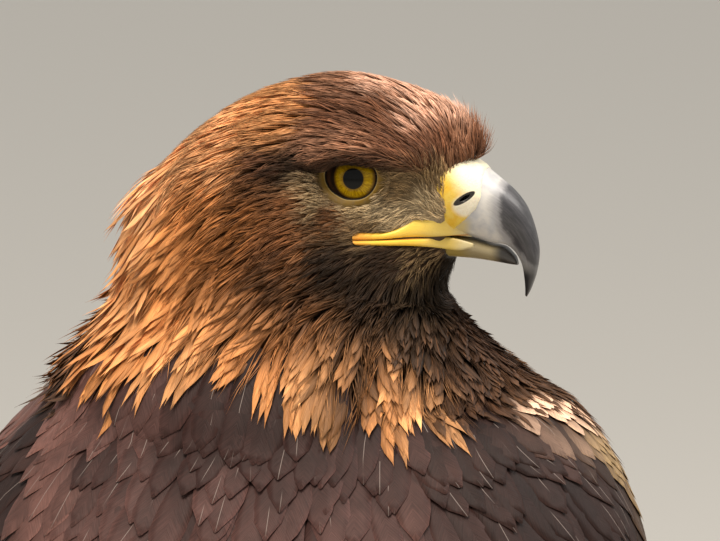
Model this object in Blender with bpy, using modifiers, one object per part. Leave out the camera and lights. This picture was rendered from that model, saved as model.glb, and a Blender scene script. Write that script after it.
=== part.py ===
"""Life-size golden eagle standing on level ground, its head turned over its right shoulder.

Metres, +Z up. The breast faces -Y, the bird's right side is -X, and the origin is on the ground
under the middle of the bird's box. Every shape reaches out to the tips of the plumage.
The plumage masses overlap where they are first modelled. Each is then carved by its neighbours,
or parted from them by a plane, so that the finished pieces meet with a thin gap.
"""

import bmesh
import bpy
from math import cos, pi, radians, sin
from mathutils import Matrix, Vector

MM = 0.001
GAP = 0.4 * MM

# Driving sizes of a large adult female. The head's frame stands midway between the eyes.
EYE_HEIGHT = 600 * MM
HEAD_TURN = 82.0
HEAD_ORIGIN = Vector((-18.5 * MM, -35 * MM, EYE_HEIGHT))
EYE_RADIUS = 12.2 * MM
EYE_OFFSET = 12.7 * MM
NECK_FLOOR = 530 * MM
TAIL_LENGTH = 330 * MM
TAIL_DROP = 33.0
TAIL_SHOULDER = 0.8
FOOT_SPACING = 118 * MM
FOOT_FORWARD = 34 * MM
SHANK_FLOOR = 34 * MM

# Points in a ring of a loft, the voxels that fuse masses into one skin, the spare width that is
# trimmed after a skin is thinned out, and the triangles that each fused piece is thinned to.
RING = 28
LIMB_RING = 14
BODY_VOXEL = 2.2 * MM
FOOT_VOXEL = 1.5 * MM
SPARE = 5 * MM
TRIANGLES = {"head": 1000, "neck": 420, "trunk": 740, "eye": 130, "foot": 340, "thigh": 240}


def clear_scene():
    for obj in list(bpy.data.objects):
        bpy.data.objects.remove(obj)


def collection(name, hidden=False):
    made = bpy.data.collections.new(name)
    bpy.context.scene.collection.children.link(made)
    made.hide_render = hidden
    return made


def material(name, colour, roughness):
    made = bpy.data.materials.new(name)
    made.use_nodes = True
    shader = made.node_tree.nodes["Principled BSDF"]
    shader.inputs["Base Color"].default_value = (*colour, 1.0)
    shader.inputs["Roughness"].default_value = roughness
    shader.inputs["Metallic"].default_value = 0.0
    return made


def head_place():
    """The head is modelled facing -Y like the body, then turned to the bird's right."""
    return Matrix.Translation(HEAD_ORIGIN) @ Matrix.Rotation(-radians(HEAD_TURN), 4, "Z")


def at_head(side, forward, up):
    """A place on the head in millimetres: to the bird's left, towards the bill, and up."""
    return Vector((side * MM, -forward * MM, up * MM))


def smooth_row(rows, t):
    """Reads a table of stations at t, from 0 to 1, along a smooth curve through its rows."""
    place = t * (len(rows) - 1)
    i = min(int(place), len(rows) - 2)
    u = place - i
    around = [rows[max(i - 1, 0)], rows[i], rows[i + 1], rows[min(i + 2, len(rows) - 1)]]
    found = []
    for a, b, c, d in zip(*around):
        found.append(0.5 * (2 * b + (c - a) * u + (2 * a - 5 * b + 4 * c - d) * u**2
                            + (3 * b - a - 3 * c + d) * u**3))
    return found


def add_mesh(name, bm, place=None):
    bmesh.ops.recalc_face_normals(bm, faces=bm.faces)
    mesh = bpy.data.meshes.new(name)
    bm.to_mesh(mesh)
    bm.free()
    if place is not None:
        mesh.transform(place)
    obj = bpy.data.objects.new(name, mesh)
    WORKSHOP.objects.link(obj)
    return obj


def loft(name, rings, place=None):
    """A closed surface through rings of equal length, with a fan over each end."""
    bm = bmesh.new()
    loops = [[bm.verts.new(p) for p in ring] for ring in rings]
    count = len(loops[0])
    for low, high in zip(loops, loops[1:]):
        for k in range(count):
            n = (k + 1) % count
            bm.faces.new((low[k], low[n], high[n], high[k]))
    for loop in (loops[0], loops[-1]):
        hub = bm.verts.new(sum((v.co for v in loop), Vector()) / count)
        for k in range(count):
            bm.faces.new((loop[k], loop[(k + 1) % count], hub))
    return add_mesh(name, bm, place)


def ellipsoid(name, centre, radii, place=None, turn=0.0):
    """A stretched ball. A turn tips its long axis up at the front, in degrees."""
    bm = bmesh.new()
    bmesh.ops.create_uvsphere(bm, u_segments=32, v_segments=18, radius=1.0)
    shape = Matrix.Translation(centre) @ Matrix.Rotation(radians(turn), 4, "X")
    bm.transform(shape @ Matrix.Diagonal((*radii, 1.0)))
    return add_mesh(name, bm, place)


def oval(centre, across, along, count=RING, square=2.0):
    """A ring in the plane of two half-axes. A higher square makes it boxier."""
    points = []
    for k in range(count):
        angle = 2 * pi * k / count
        c, s = cos(angle), sin(angle)
        x = abs(c) ** (2 / square) * (1 if c >= 0 else -1)
        y = abs(s) ** (2 / square) * (1 if s >= 0 else -1)
        points.append(centre + across * x + along * y)
    return points


def evaluated(obj):
    """Applies an object's modifiers to its mesh."""
    bpy.context.view_layer.update()
    graph = bpy.context.evaluated_depsgraph_get()
    mesh = bpy.data.meshes.new_from_object(obj.evaluated_get(graph))
    obj.modifiers.clear()
    obj.data = mesh
    return obj


def fuse(name, pieces, voxel, smoothing):
    """Joins overlapping masses into one smooth closed surface."""
    bm = bmesh.new()
    for piece in pieces:
        bm.from_mesh(piece.data)
        bpy.data.objects.remove(piece)
    obj = add_mesh(name, bm)
    remesh = obj.modifiers.new("remesh", "REMESH")
    remesh.mode = "VOXEL"
    remesh.voxel_size = voxel
    soften = obj.modifiers.new("soften", "SMOOTH")
    soften.factor = 0.5
    soften.iterations = smoothing
    return evaluated(obj)


def thin_out(obj, kind):
    """Collapses a surface to about the triangles that its kind is given."""
    bm = bmesh.new()
    bm.from_mesh(obj.data)
    bmesh.ops.triangulate(bm, faces=bm.faces)
    bm.to_mesh(obj.data)
    count = len(bm.faces)
    bm.free()
    decimate = obj.modifiers.new("thin out", "DECIMATE")
    decimate.ratio = min(1.0, TRIANGLES[kind] / count)
    return evaluated(obj)


def copy_of(obj, name):
    made = bpy.data.objects.new(name, obj.data.copy())
    WORKSHOP.objects.link(made)
    return made


def keep_side(obj, point, normal, gap=GAP / 2):
    """Cuts with a plane, drops what lies on the normal's side, and closes the cut."""
    bm = bmesh.new()
    bm.from_mesh(obj.data)
    normal = Vector(normal).normalized()
    everything = bm.verts[:] + bm.edges[:] + bm.faces[:]
    cut = bmesh.ops.bisect_plane(bm, geom=everything, dist=1e-7, clear_outer=True,
                                 plane_co=Vector(point) - normal * gap, plane_no=normal)
    rim = [e for e in cut["geom_cut"] if isinstance(e, bmesh.types.BMEdge)]
    bmesh.ops.holes_fill(bm, edges=rim, sides=0)
    bmesh.ops.triangulate(bm, faces=bm.faces)
    bm.to_mesh(obj.data)
    bm.free()
    return obj


def part_from(whole, name, cuts):
    """A copy of a skin between planes, thinned out before the last, exact cuts."""
    piece = copy_of(whole, name)
    for point, normal in cuts:
        keep_side(piece, point, normal, -SPARE)
    thin_out(piece, name)
    for point, normal in cuts:
        keep_side(piece, point, normal)
    return piece


def carve(obj, by, gap=GAP):
    """Takes a slightly swollen copy of another piece away, and keeps the largest body left."""
    cutter = copy_of(by, "cutter")
    swell = cutter.modifiers.new("swell", "DISPLACE")
    swell.strength = gap
    swell.mid_level = 0.0
    evaluated(cutter)
    cut = obj.modifiers.new("cut", "BOOLEAN")
    cut.operation = "DIFFERENCE"
    cut.object = cutter
    evaluated(obj)
    bpy.data.objects.remove(cutter)
    return largest_body(obj)


def largest_body(obj):
    """Keeps the largest connected body of a carved piece."""
    bm = bmesh.new()
    bm.from_mesh(obj.data)
    left = set(bm.verts)
    bodies = []
    while left:
        body, edge = set(), [left.pop()]
        while edge:
            vert = edge.pop()
            body.add(vert)
            for link in vert.link_edges:
                other = link.other_vert(vert)
                if other in left:
                    left.remove(other)
                    edge.append(other)
        bodies.append(body)
    biggest = max(bodies, key=len)
    bmesh.ops.delete(bm, geom=[v for v in bm.verts if v not in biggest], context="VERTS")
    bm.to_mesh(obj.data)
    bm.free()
    return obj


# The spine runs from the base of the neck, down the back, to the root of the tail.
# Each station: y, z, half-width, depth to the breast side, depth to the back side.
TRUNK = [
    (-34, 560, 32, 34, 38),
    (-36, 543, 52, 54, 50),
    (-36, 518, 76, 74, 66),
    (-26, 478, 95, 88, 80),
    (-3, 432, 100, 97, 87),
    (30, 380, 98, 100, 87),
    (70, 325, 90, 94, 79),
    (118, 273, 74, 78, 63),
    (168, 230, 53, 54, 45),
    (212, 198, 33, 29, 25),
]
FLANK_FULLNESS = 0.05


def spine(t):
    """Place, half-width, and the depths in front and behind, at t along the trunk."""
    y, z, wide, front, back = [v * MM for v in smooth_row(TRUNK, t)]
    return Vector((0, y, z)), wide, front, back


def spine_frame(t):
    """The place on the spine, the way on along it, and the way to the back, square to it."""
    step = 0.01
    ahead = spine(min(t + step, 1.0))[0] - spine(max(t - step, 0.0))[0]
    ahead.normalize()
    return spine(t)[0], ahead, Vector((0, -ahead.z, ahead.y))


def trunk_mass():
    rings = []
    stations = 34
    for i in range(stations):
        t = i / (stations - 1)
        place, wide, front, back = spine(t)
        dorsal = spine_frame(t)[2]
        ring = []
        for k in range(RING):
            angle = 2 * pi * k / RING
            depth = back if cos(angle) > 0 else front
            full = 1.0 + FLANK_FULLNESS * sin(2 * angle) ** 2
            outward = Vector((wide * sin(angle), 0, 0)) + dorsal * depth * cos(angle)
            ring.append(place + outward * full)
        rings.append(ring)
    return loft("trunk_mass", rings)


# The neck rises from the shoulders into the back of the head, in the turned head's frame.
# Each station: height, forward place, half-length, half-width, all in millimetres.
NECK = [
    (-100, -12, 66, 52),
    (-90, -15, 82, 66),
    (-76, -21, 88, 70),
    (-62, -25.5, 75, 61),
    (-52, -27.5, 64.5, 53),
    (-42, -28, 56.5, 47),
    (-28, -28.5, 54.5, 41),
    (-14, -29, 52.5, 35),
    (0, -26.5, 45.5, 29),
]


def neck_mass():
    rings = []
    stations = 20
    for i in range(stations):
        up, forward, long, wide = smooth_row(NECK, i / (stations - 1))
        rings.append(oval(at_head(0, forward, up), Vector((wide * MM, 0, 0)),
                          Vector((0, long * MM, 0))))
    return loft("neck_mass", rings, head_place())


# The head from the nape to the forehead over the bill's root.
# Each station: forward place, top, bottom, half-width, height of the widest place.
HEAD = [
    (-71.5, -8, -36, 17, -22),
    (-66, 5, -44, 25, -20),
    (-57, 13.5, -50, 30, -18),
    (-44, 22.8, -50, 32.5, -17),
    (-28, 30, -49, 32.5, -17),
    (-8, 34, -46, 30, -16),
    (8, 31.6, -42, 25.5, -14),
    (18, 29, -37.5, 21.5, -12),
    (26, 25.5, -33.5, 18, -9),
    (30, 22.5, -27, 15, -6),
    (34, 19.0, -4, 11.5, 7),
    (38.5, 14.0, 5, 8, 9),
    (41.5, 9.5, 6.5, 3.5, 8),
]


def head_mass():
    rings = []
    stations = 34
    for i in range(stations):
        forward, top, bottom, wide, waist = smooth_row(HEAD, i / (stations - 1))
        ring = []
        for k in range(RING):
            angle = 2 * pi * k / RING
            rise = top - waist if cos(angle) > 0 else waist - bottom
            ring.append(at_head(wide * sin(angle), forward, waist + rise * cos(angle)))
        rings.append(ring)
    return loft("head_mass", rings, head_place())


def capsule(name, start, end, radii, place):
    """A rounded bar between two places, each end with its own radius."""
    start, end = Vector(start), Vector(end)
    ahead = (end - start).normalized()
    across = ahead.cross(Vector((0, 0, 1))).normalized()
    above = across.cross(ahead)
    rings = []
    steps = 14
    for i in range(steps + 1):
        t = i / steps
        radius = radii[0] + (radii[1] - radii[0]) * t
        cap = max(0.12, min(1.0, 4 * min(t, 1 - t)) ** 0.5)
        rings.append(oval(start.lerp(end, t), across * radius * cap, above * radius * cap, 14))
    return loft(name, rings, place)


def body_mass():
    """Trunk, neck and head in one skin, with brow ridges, cheeks and eye sockets."""
    place = head_place()
    masses = [trunk_mass(), head_mass(), neck_mass()]
    for side in (-1, 1):
        front, back = at_head(side * 18.5, 28, 7.6), at_head(side * 24.5, -15, 12)
        masses.append(capsule("brow", front, back, (5 * MM, 7 * MM), place))
        cheek = at_head(side * 17, -14, -26)
        masses.append(ellipsoid("cheek", cheek, Vector((14, 22, 17)) * MM, place))
    whole = fuse("body", masses, BODY_VOXEL, 6)
    for side in (-1, 1):
        socket = at_head(side * 33, 4, -3.2)
        orbit = ellipsoid("orbit", socket, Vector((12.0, 17.5, 8.4)) * MM, place, 6)
        carve(whole, orbit, 0.0)
        bpy.data.objects.remove(orbit)
    soften = whole.modifiers.new("soften", "SMOOTH")
    soften.iterations = 2
    return evaluated(whole)


# The bill in profile. Each station: forward and up along the ridge, forward and up along the
# cutting edge, half-width at the edge, and half-width halfway up.
UPPER_BILL = [
    (22.0, 8.4, 20.0, -18.6, 13.4, 12.4),
    (27.0, 7.4, 26.0, -19.0, 12.8, 12.2),
    (32.0, 6.2, 31.0, -19.2, 11.8, 11.6),
    (38.0, 3.7, 36.0, -20.0, 10.2, 10.4),
    (44.2, -0.8, 41.9, -21.8, 8.2, 9.0),
    (49.2, -4.9, 46.5, -22.4, 6.4, 7.4),
    (53.2, -10.0, 49.2, -24.2, 4.9, 6.0),
    (56.0, -17.0, 51.0, -26.8, 3.8, 4.7),
    (57.4, -24.0, 52.0, -29.5, 2.9, 3.7),
    (56.8, -30.6, 52.5, -32.8, 2.1, 2.7),
    (55.0, -36.4, 52.8, -36.2, 1.3, 1.7),
    (53.4, -39.6, 52.8, -39.2, 0.5, 0.6),
]
LOWER_BILL = [
    (20.0, -19.4, 20.0, -26.0, 12.4, 9.0),
    (26.0, -19.6, 26.0, -26.3, 11.6, 8.4),
    (31.5, -19.9, 31.5, -26.7, 10.4, 7.4),
    (37.0, -21.0, 37.5, -27.2, 8.8, 6.2),
    (42.0, -22.6, 43.0, -28.0, 7.0, 4.8),
    (46.2, -23.4, 48.0, -28.9, 4.8, 3.3),
    (49.4, -26.2, 50.4, -29.2, 2.6, 1.9),
]


def upper_bill_mass():
    rings = []
    stations, count = 16, 12
    for i in range(stations):
        fr, ur, fe, ue, edge, middle = smooth_row(UPPER_BILL, i / (stations - 1))
        ridge, rim = Vector((fr, ur)), Vector((fe, ue))
        ring = []
        for k in range(count):
            angle = 2 * pi * k / count
            share = (1 - cos(angle)) / 2
            bulge = sin(angle)
            wide = middle * abs(bulge) ** 0.8 * (1 - share) + edge * (share * abs(bulge)) ** 0.5
            spot = ridge.lerp(rim, share)
            ring.append(at_head(wide * (1 if bulge > 0 else -1), spot.x, spot.y))
        rings.append(ring)
    return loft("bill_upper", rings, head_place())


def lower_bill_mass():
    rings = []
    stations, count = 10, 12
    for i in range(stations):
        fe, ue, fk, uk, edge, keel = smooth_row(LOWER_BILL, i / (stations - 1))
        ring = []
        for k in range(count):
            angle = 2 * pi * k / count
            share = (1 - cos(angle)) / 2
            wide = (edge * (1 - share) + keel * share) * abs(sin(angle)) ** 0.45
            spot = Vector((fe, ue)).lerp(Vector((fk, uk)), share)
            ring.append(at_head(wide * (1 if sin(angle) > 0 else -1), spot.x, spot.y))
        rings.append(ring)
    return loft("bill_lower", rings, head_place())


def eye(name, side):
    return ellipsoid(name, at_head(side * EYE_OFFSET / MM, 0.5, 0.2),
                     Vector((1, 1, 1)) * EYE_RADIUS, head_place())


# The folded wing wraps the trunk. Each station: place along the trunk and tail, the angles round
# the body of its upper and lower edges (0 is the middle of the back), and its half-width and
# depth from the spine to its outer face.
WING = [
    (0.160, 66, 108, 76, 60),
    (0.190, 40, 126, 90, 72),
    (0.235, 27, 133, 102, 80),
    (0.285, 21, 137, 113, 87),
    (0.345, 17, 138, 121, 93),
    (0.430, 13, 134, 125, 100),
    (0.530, 10, 125, 122, 100),
    (0.640, 8, 113, 110, 91),
    (0.750, 6, 100, 92, 75),
    (0.860, 4, 88, 72, 59),
    (0.950, 3, 80, 57, 46),
    (1.080, 3, 76, 46, 36),
    (1.250, 4, 72, 36, 28),
    (1.420, 6, 66, 27, 22),
    (1.560, 12, 58, 19, 18),
]
WING_TUCK = 0.16
WING_CUTS = (("arm", 0.0, 0.5), ("secondaries", 0.5, 0.98), ("primaries", 0.98, 2.0))
TAIL_ROOT = 0.86
TAIL_REACH = 360 * MM


def tail_frame():
    """The directions along the folded tail and square to it."""
    down = radians(TAIL_DROP)
    return Vector((0, cos(down), -sin(down))), Vector((0, sin(down), cos(down)))


def body_line(t):
    """Place, way on and way to the back along the spine, carried on past it along the tail."""
    if t <= 1.0:
        return spine_frame(t)
    ahead, dorsal = tail_frame()
    return spine(1.0)[0] + ahead * (t - 1.0) * TAIL_REACH, ahead, dorsal


def wing_mass(name, side):
    """A shell whose outer face follows the stations, and whose inner face sinks into the trunk."""
    rings = []
    stations, arc = 18, 8
    for i in range(stations):
        t, upper, lower, wide, deep = smooth_row(WING, i / (stations - 1))
        place, ahead, dorsal = body_line(t)
        thick = max(5, 30 - 35 * max(t - 0.5, 0)) * MM
        outer, inner = [], []
        for k in range(arc + 1):
            share = k / arc
            angle = radians(upper + (lower - upper) * share)
            edge = sin(pi * min(max(share, 0.03), 0.97)) ** 0.5
            outward = Vector((side * wide * MM * sin(angle), 0, 0)) + dorsal * deep * MM * cos(angle)
            reach = 1.0 - WING_TUCK * (1 - edge)
            sunk = (0.25 + 0.75 * edge) * thick / outward.length
            outer.append(place + outward * reach)
            inner.append(place + outward * (reach - sunk))
        rings.append(outer + inner[::-1])
    return loft(name, rings)


def tail_mass():
    """Twelve folded feathers as one tapered slab, a little fanned and rounded at the tip."""
    root = body_line(TAIL_ROOT)[0] - Vector((0, 0, 4 * MM))
    ahead, dorsal = tail_frame()
    rings = []
    stations = 9
    for i in range(stations):
        t = sin(pi / 2 * i / (stations - 1))
        rounding = max(t - TAIL_SHOULDER, 0) / (1 - TAIL_SHOULDER)
        wide = (31 + 22 * t) * MM * (1 - 0.8 * rounding**2) ** 0.5
        thick = (11 - 7 * t) * MM
        place = root + ahead * TAIL_LENGTH * t
        rings.append(oval(place, Vector((wide, 0, 0)), dorsal * thick, 16, 2.6))
    return loft("tail", rings)


# The feathered thigh and the tarsus. Each station: x, y, z, half-width, half-depth.
THIGH = [
    (46, 36, 338, 22, 32),
    (49, 30, 312, 38, 50),
    (53, 26, 270, 49, 64),
    (56, 24, 228, 47, 60),
    (58, 30, 190, 39, 49),
    (59, 39, 156, 30, 38),
    (59, 47, 128, 23, 29),
    (59, 51, 106, 18, 22),
    (59, 52, 90, 13, 16),
]
TARSUS = [
    (59, 55, 122, 11, 13),
    (59, 52, 104, 12.5, 14.5),
    (59, 46, 84, 12, 13.5),
    (59, 41, 63, 12.5, 13.5),
    (59, 37, 42, 15, 16),
    (59, 35, 26, 17, 17),
    (59, 35, 12, 14, 14),
]


def limb(name, rows, side, stations):
    rings = []
    for i in range(stations):
        x, y, z, wide, deep = [v * MM for v in smooth_row(rows, i / (stations - 1))]
        place = Vector((side * x, y, z))
        rings.append(oval(place, Vector((wide, 0, 0)), Vector((0, deep, 0)), LIMB_RING))
    return loft(name, rings)


# Toes: name, heading from straight ahead towards the outside, length, root and tip radius, claw.
TOES = [
    ("inner", -32, 46, 10.5, 8.8, 42),
    ("middle", 4, 66, 10.2, 8.4, 37),
    ("outer", 40, 52, 9.6, 7.8, 32),
    ("hind", 176, 38, 11.0, 9.4, 52),
]
TOE_KNUCKLES = 3
TOE_ARCH = 1.3 * MM
PAD_PRESS = 1.4 * MM
CLAW_ARC = (-40.0, 75.0)
CLAW_CLEARANCE = 1.4 * MM
CLAW_ROOT = 6 * MM
CLAW_RADIUS = 5.2


def toe_line(side, heading, length):
    """The root, the flat direction of a toe, and its tip, on the ground."""
    root = Vector((side * FOOT_SPACING / 2, FOOT_FORWARD, 0))
    angle = radians(heading)
    ahead = Vector((side * sin(angle), -cos(angle), 0))
    return root, ahead, root + ahead * length * MM


def toe_mass(side, heading, length, root_radius, tip_radius):
    root, ahead, tip = toe_line(side, heading, length)
    across = ahead.cross(Vector((0, 0, 1)))
    rings = []
    steps = 18
    for i in range(steps + 1):
        t = i / steps
        radius = (root_radius + (tip_radius - root_radius) * t) * MM
        pads = 1.0 + 0.09 * cos(2 * pi * TOE_KNUCKLES * t)
        cap = max(0.25, min(1.0, 5 * (1 - t)) ** 0.5)
        arch = TOE_ARCH * sin(pi * min(t * 1.1, 1))
        place = root.lerp(tip, t) + Vector((0, 0, radius * 0.95 + arch - PAD_PRESS))
        size = radius * cap * pads
        rings.append(oval(place, across * size, Vector((0, 0, size)), LIMB_RING))
    return loft("toe", rings)


def claw(name, side, heading, length, reach):
    """A hooked cone along an arc of the given length that ends just over the ground."""
    root, ahead, tip = toe_line(side, heading, length)
    across = ahead.cross(Vector((0, 0, 1)))
    first, last = radians(CLAW_ARC[0]), radians(CLAW_ARC[1])
    swing = reach * MM / (last - first)
    start = tip - ahead * CLAW_ROOT
    start.z = CLAW_CLEARANCE + swing * (cos(first) - cos(last))
    rings = []
    steps = 7
    for i in range(steps + 1):
        t = i / steps
        turn = first + (last - first) * t
        place = start + ahead * swing * (sin(turn) - sin(first))
        place.z += swing * (cos(turn) - cos(first))
        radius = (CLAW_RADIUS * (1 - t) ** 0.75 * (reach / 40) ** 0.7 + 0.5) * MM
        up = Vector((0, 0, cos(turn))) + ahead * sin(turn)
        rings.append(oval(place, across * radius * 0.78, up * radius, 8))
    return loft(name, rings)


def foot_mass(name, side):
    """Four toes and the ankle in one skin, cut flat where the pads press on the ground."""
    masses = [toe_mass(side, *row[1:5]) for row in TOES]
    masses.append(limb("ankle", TARSUS[-3:], side, 6))
    made = thin_out(fuse(name, masses, FOOT_VOXEL, 4), "foot")
    return keep_side(made, (0, 0, 0), (0, 0, -1), 0.0)


def finish(obj, name, paint):
    """Moves a finished piece into the bird's collection, with its paint."""
    obj.name = name
    obj.data.name = name
    obj.data.materials.clear()
    obj.data.materials.append(PAINTS[paint])
    obj.data.shade_smooth()
    obj.data.set_sharp_from_angle(angle=radians(40))
    WORKSHOP.objects.unlink(obj)
    EAGLE.objects.link(obj)
    return obj


def make_body():
    """Parts one skin into head, neck and trunk, and sets the eyes and the bill in the head."""
    whole = body_mass()
    turned = head_place()
    # The plane between head and neck rises from the throat to the nape.
    throat = turned @ at_head(0, 24, -36)
    below = turned.to_3x3() @ Vector((0, 0.22, -1.0))
    shoulders = Vector((0, 0, NECK_FLOOR))
    head = part_from(whole, "head", [(throat, below)])
    neck = part_from(whole, "neck", [(throat, -below), (shoulders, (0, 0, -1))])
    trunk = part_from(whole, "trunk", [(shoulders, (0, 0, 1))])
    bpy.data.objects.remove(whole)
    for side, hand in ((1, "left"), (-1, "right")):
        ball = thin_out(eye(f"eye_{hand}", side), "eye")
        carve(head, ball)
        finish(ball, ball.name, "eye_amber")
    upper = upper_bill_mass()
    lower = carve(lower_bill_mass(), upper)
    for bill in (upper, lower):
        carve(head, bill)
        finish(bill, bill.name, "bill_horn")
    finish(head, "head", "brown_plumage")
    finish(neck, "neck", "golden_plumage")
    finish(trunk, "trunk", "dark_plumage")
    return neck, trunk


def make_wing(side, hand, neighbours):
    """Carves a folded wing by its neighbours, then parts it across into its three lengths."""
    wing = wing_mass(f"wing_{hand}", side)
    keep_side(wing, (0, 0, 0), (-side, 0, 0))
    for other in neighbours:
        carve(wing, other)
    pieces = []
    for part, first, last in WING_CUTS:
        piece = copy_of(wing, f"wing_{hand}_{part}")
        if first > 0:
            place, ahead, dorsal = body_line(first)
            keep_side(piece, place, -ahead)
        if last < WING[-1][0]:
            place, ahead, dorsal = body_line(last)
            keep_side(piece, place, ahead)
        pieces.append(finish(piece, piece.name, "dark_plumage"))
    bpy.data.objects.remove(wing)
    return pieces


def make_leg(side, hand, neighbours):
    """Thigh, tarsus, foot and four claws."""
    sole_cut = Vector((0, 0, SHANK_FLOOR))
    foot = keep_side(foot_mass("foot", side), sole_cut, (0, 0, 1))
    shank = keep_side(limb("shank", TARSUS, side, 8), sole_cut, (0, 0, -1))
    thigh = thin_out(limb("thigh", THIGH, side, 18), "thigh")
    for other in neighbours:
        carve(thigh, other)
    carve(shank, thigh)
    for toe, heading, length, root_radius, tip_radius, reach in TOES:
        nail = carve(claw("claw", side, heading, length, reach), foot)
        finish(nail, f"claw_{hand}_{toe}", "claw_horn")
    finish(thigh, f"thigh_{hand}", "dark_plumage")
    finish(shank, f"tarsus_{hand}", "pale_plumage")
    finish(foot, f"foot_{hand}", "yellow_skin")


def build():
    neck, trunk = make_body()
    tail = finish(carve(tail_mass(), trunk), "tail", "dark_plumage")
    for side, hand in ((1, "left"), (-1, "right")):
        wing = make_wing(side, hand, [trunk, neck, tail])
        make_leg(side, hand, [trunk] + wing[:2])


def centre_on_ground():
    """Puts the origin on the ground, under the middle of the bird's box."""
    corners = [v.co for obj in EAGLE.objects for v in obj.data.vertices]
    low, high = [[pick(c[axis] for c in corners) for axis in range(3)] for pick in (min, max)]
    shift = Vector((-(low[0] + high[0]) / 2, -(low[1] + high[1]) / 2, -low[2]))
    for obj in EAGLE.objects:
        obj.data.transform(Matrix.Translation(shift))


clear_scene()
EAGLE = collection("golden_eagle")
WORKSHOP = collection("workshop", hidden=True)
PAINTS = {
    "brown_plumage": material("brown_plumage", (0.20, 0.11, 0.07), 0.7),
    "golden_plumage": material("golden_plumage", (0.50, 0.27, 0.10), 0.65),
    "dark_plumage": material("dark_plumage", (0.09, 0.055, 0.04), 0.65),
    "pale_plumage": material("pale_plumage", (0.32, 0.23, 0.15), 0.75),
    "bill_horn": material("bill_horn", (0.14, 0.15, 0.17), 0.3),
    "claw_horn": material("claw_horn", (0.02, 0.02, 0.022), 0.3),
    "yellow_skin": material("yellow_skin", (0.75, 0.52, 0.06), 0.5),
    "eye_amber": material("eye_amber", (0.45, 0.25, 0.02), 0.05),
}
build()
centre_on_ground()
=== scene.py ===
# %% [markdown]
# # A golden eagle, feather by feather
# The bird stands on level ground and looks back over its right shoulder. The solids of its
# body, bill, eyes and claws arrive already made and placed. This lesson gives them their looks:
# one skin under the plumage, some forty thousand feathers and strands over it, and the bare
# parts of the face and feet. The first cell loads the solids and notes the box that they fill.

# %% Load the solids
import bpy
import numpy as np
from math import atan2, cos, pi, radians, sin
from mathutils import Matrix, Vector, noise
from mathutils.bvhtree import BVHTree
from mathutils.kdtree import KDTree


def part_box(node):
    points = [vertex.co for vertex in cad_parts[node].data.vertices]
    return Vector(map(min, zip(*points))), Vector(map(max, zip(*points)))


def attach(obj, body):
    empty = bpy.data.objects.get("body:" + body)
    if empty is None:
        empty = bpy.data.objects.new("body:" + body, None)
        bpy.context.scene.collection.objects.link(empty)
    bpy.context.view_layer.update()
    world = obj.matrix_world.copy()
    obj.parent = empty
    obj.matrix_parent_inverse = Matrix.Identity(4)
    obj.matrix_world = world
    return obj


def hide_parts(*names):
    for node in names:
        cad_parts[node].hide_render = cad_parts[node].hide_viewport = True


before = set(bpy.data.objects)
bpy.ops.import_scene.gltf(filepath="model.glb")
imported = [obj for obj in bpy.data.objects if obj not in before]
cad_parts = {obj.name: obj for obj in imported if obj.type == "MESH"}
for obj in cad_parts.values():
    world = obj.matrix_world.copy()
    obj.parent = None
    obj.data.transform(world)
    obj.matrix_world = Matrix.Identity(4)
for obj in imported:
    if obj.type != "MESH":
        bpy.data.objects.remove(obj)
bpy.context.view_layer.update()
MM = 0.001

# %% [markdown]
# The head is turned, so its parts are easier to place in the head's own directions: forward
# towards the bill, sideways towards the bird's left, and up. All three come from the two eyes.
# Sizes on the head are then plain millimetres from the point midway between the eyes.

# %% Directions of the head
EYE_RADIUS = 12.2
EYE_FORWARD, EYE_UP = 0.5, 0.2


def middle(node):
    low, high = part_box(node)
    return (low + high) / 2


LEFT_EYE, RIGHT_EYE = middle("eye_left"), middle("eye_right")
HEAD_SIDE = np.array((LEFT_EYE - RIGHT_EYE).normalized())
HEAD_UP = np.array((0.0, 0.0, 1.0))
HEAD_FORWARD = np.cross(HEAD_SIDE, HEAD_UP)
HEAD_AXES = np.array([HEAD_FORWARD, HEAD_SIDE, HEAD_UP])
BETWEEN_EYES = np.array((LEFT_EYE + RIGHT_EYE) / 2)
HEAD_CENTRE = BETWEEN_EYES - (HEAD_FORWARD * EYE_FORWARD + HEAD_UP * EYE_UP) * MM
EYE_OFFSET = (LEFT_EYE - RIGHT_EYE).length / 2 / MM


def from_head(places):
    """Places on the head in millimetres (forward, side, up) as places in the scene."""
    return HEAD_CENTRE + np.asarray(places, float) * MM @ HEAD_AXES


def to_head(points):
    """Places in the scene as millimetres forward, sideways and up on the head."""
    return (np.asarray(points, float) - HEAD_CENTRE) @ HEAD_AXES.T / MM


print("eyes", round(2 * EYE_OFFSET, 1), "mm apart, head faces", HEAD_FORWARD.round(2))

# %% [markdown]
# The camera stands behind the bird and a little to its right, just above the level of its eyes,
# with a long lens, as a photographer at an enclosure would. The lens makes one pixel of the
# 720 by 541 picture 0.325 mm at the head. The right eye is the anchor of the framing.

# %% Camera
PICTURE = (720, 541)
PIXEL = 0.325 * MM
EYE_PIXEL = (353, 181)
VIEW_AZIMUTH, VIEW_ELEVATION, VIEW_DISTANCE = radians(200), radians(8), 4.0
BACK = np.array((sin(VIEW_AZIMUTH) * cos(VIEW_ELEVATION),
                 -cos(VIEW_AZIMUTH) * cos(VIEW_ELEVATION), sin(VIEW_ELEVATION)))
RIGHT = np.cross((0.0, 0.0, 1.0), BACK)
RIGHT /= np.linalg.norm(RIGHT)
ABOVE = np.cross(BACK, RIGHT)
EYE_FRONT = from_head((EYE_FORWARD, -EYE_OFFSET - EYE_RADIUS, EYE_UP))


def in_view(x, y, nearer=0.0):
    """The place behind a pixel of the picture, in the plane of the right eye."""
    aside, down = (x - EYE_PIXEL[0]) * PIXEL, (y - EYE_PIXEL[1]) * PIXEL
    return EYE_FRONT + RIGHT * aside - ABOVE * down + BACK * nearer


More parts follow.
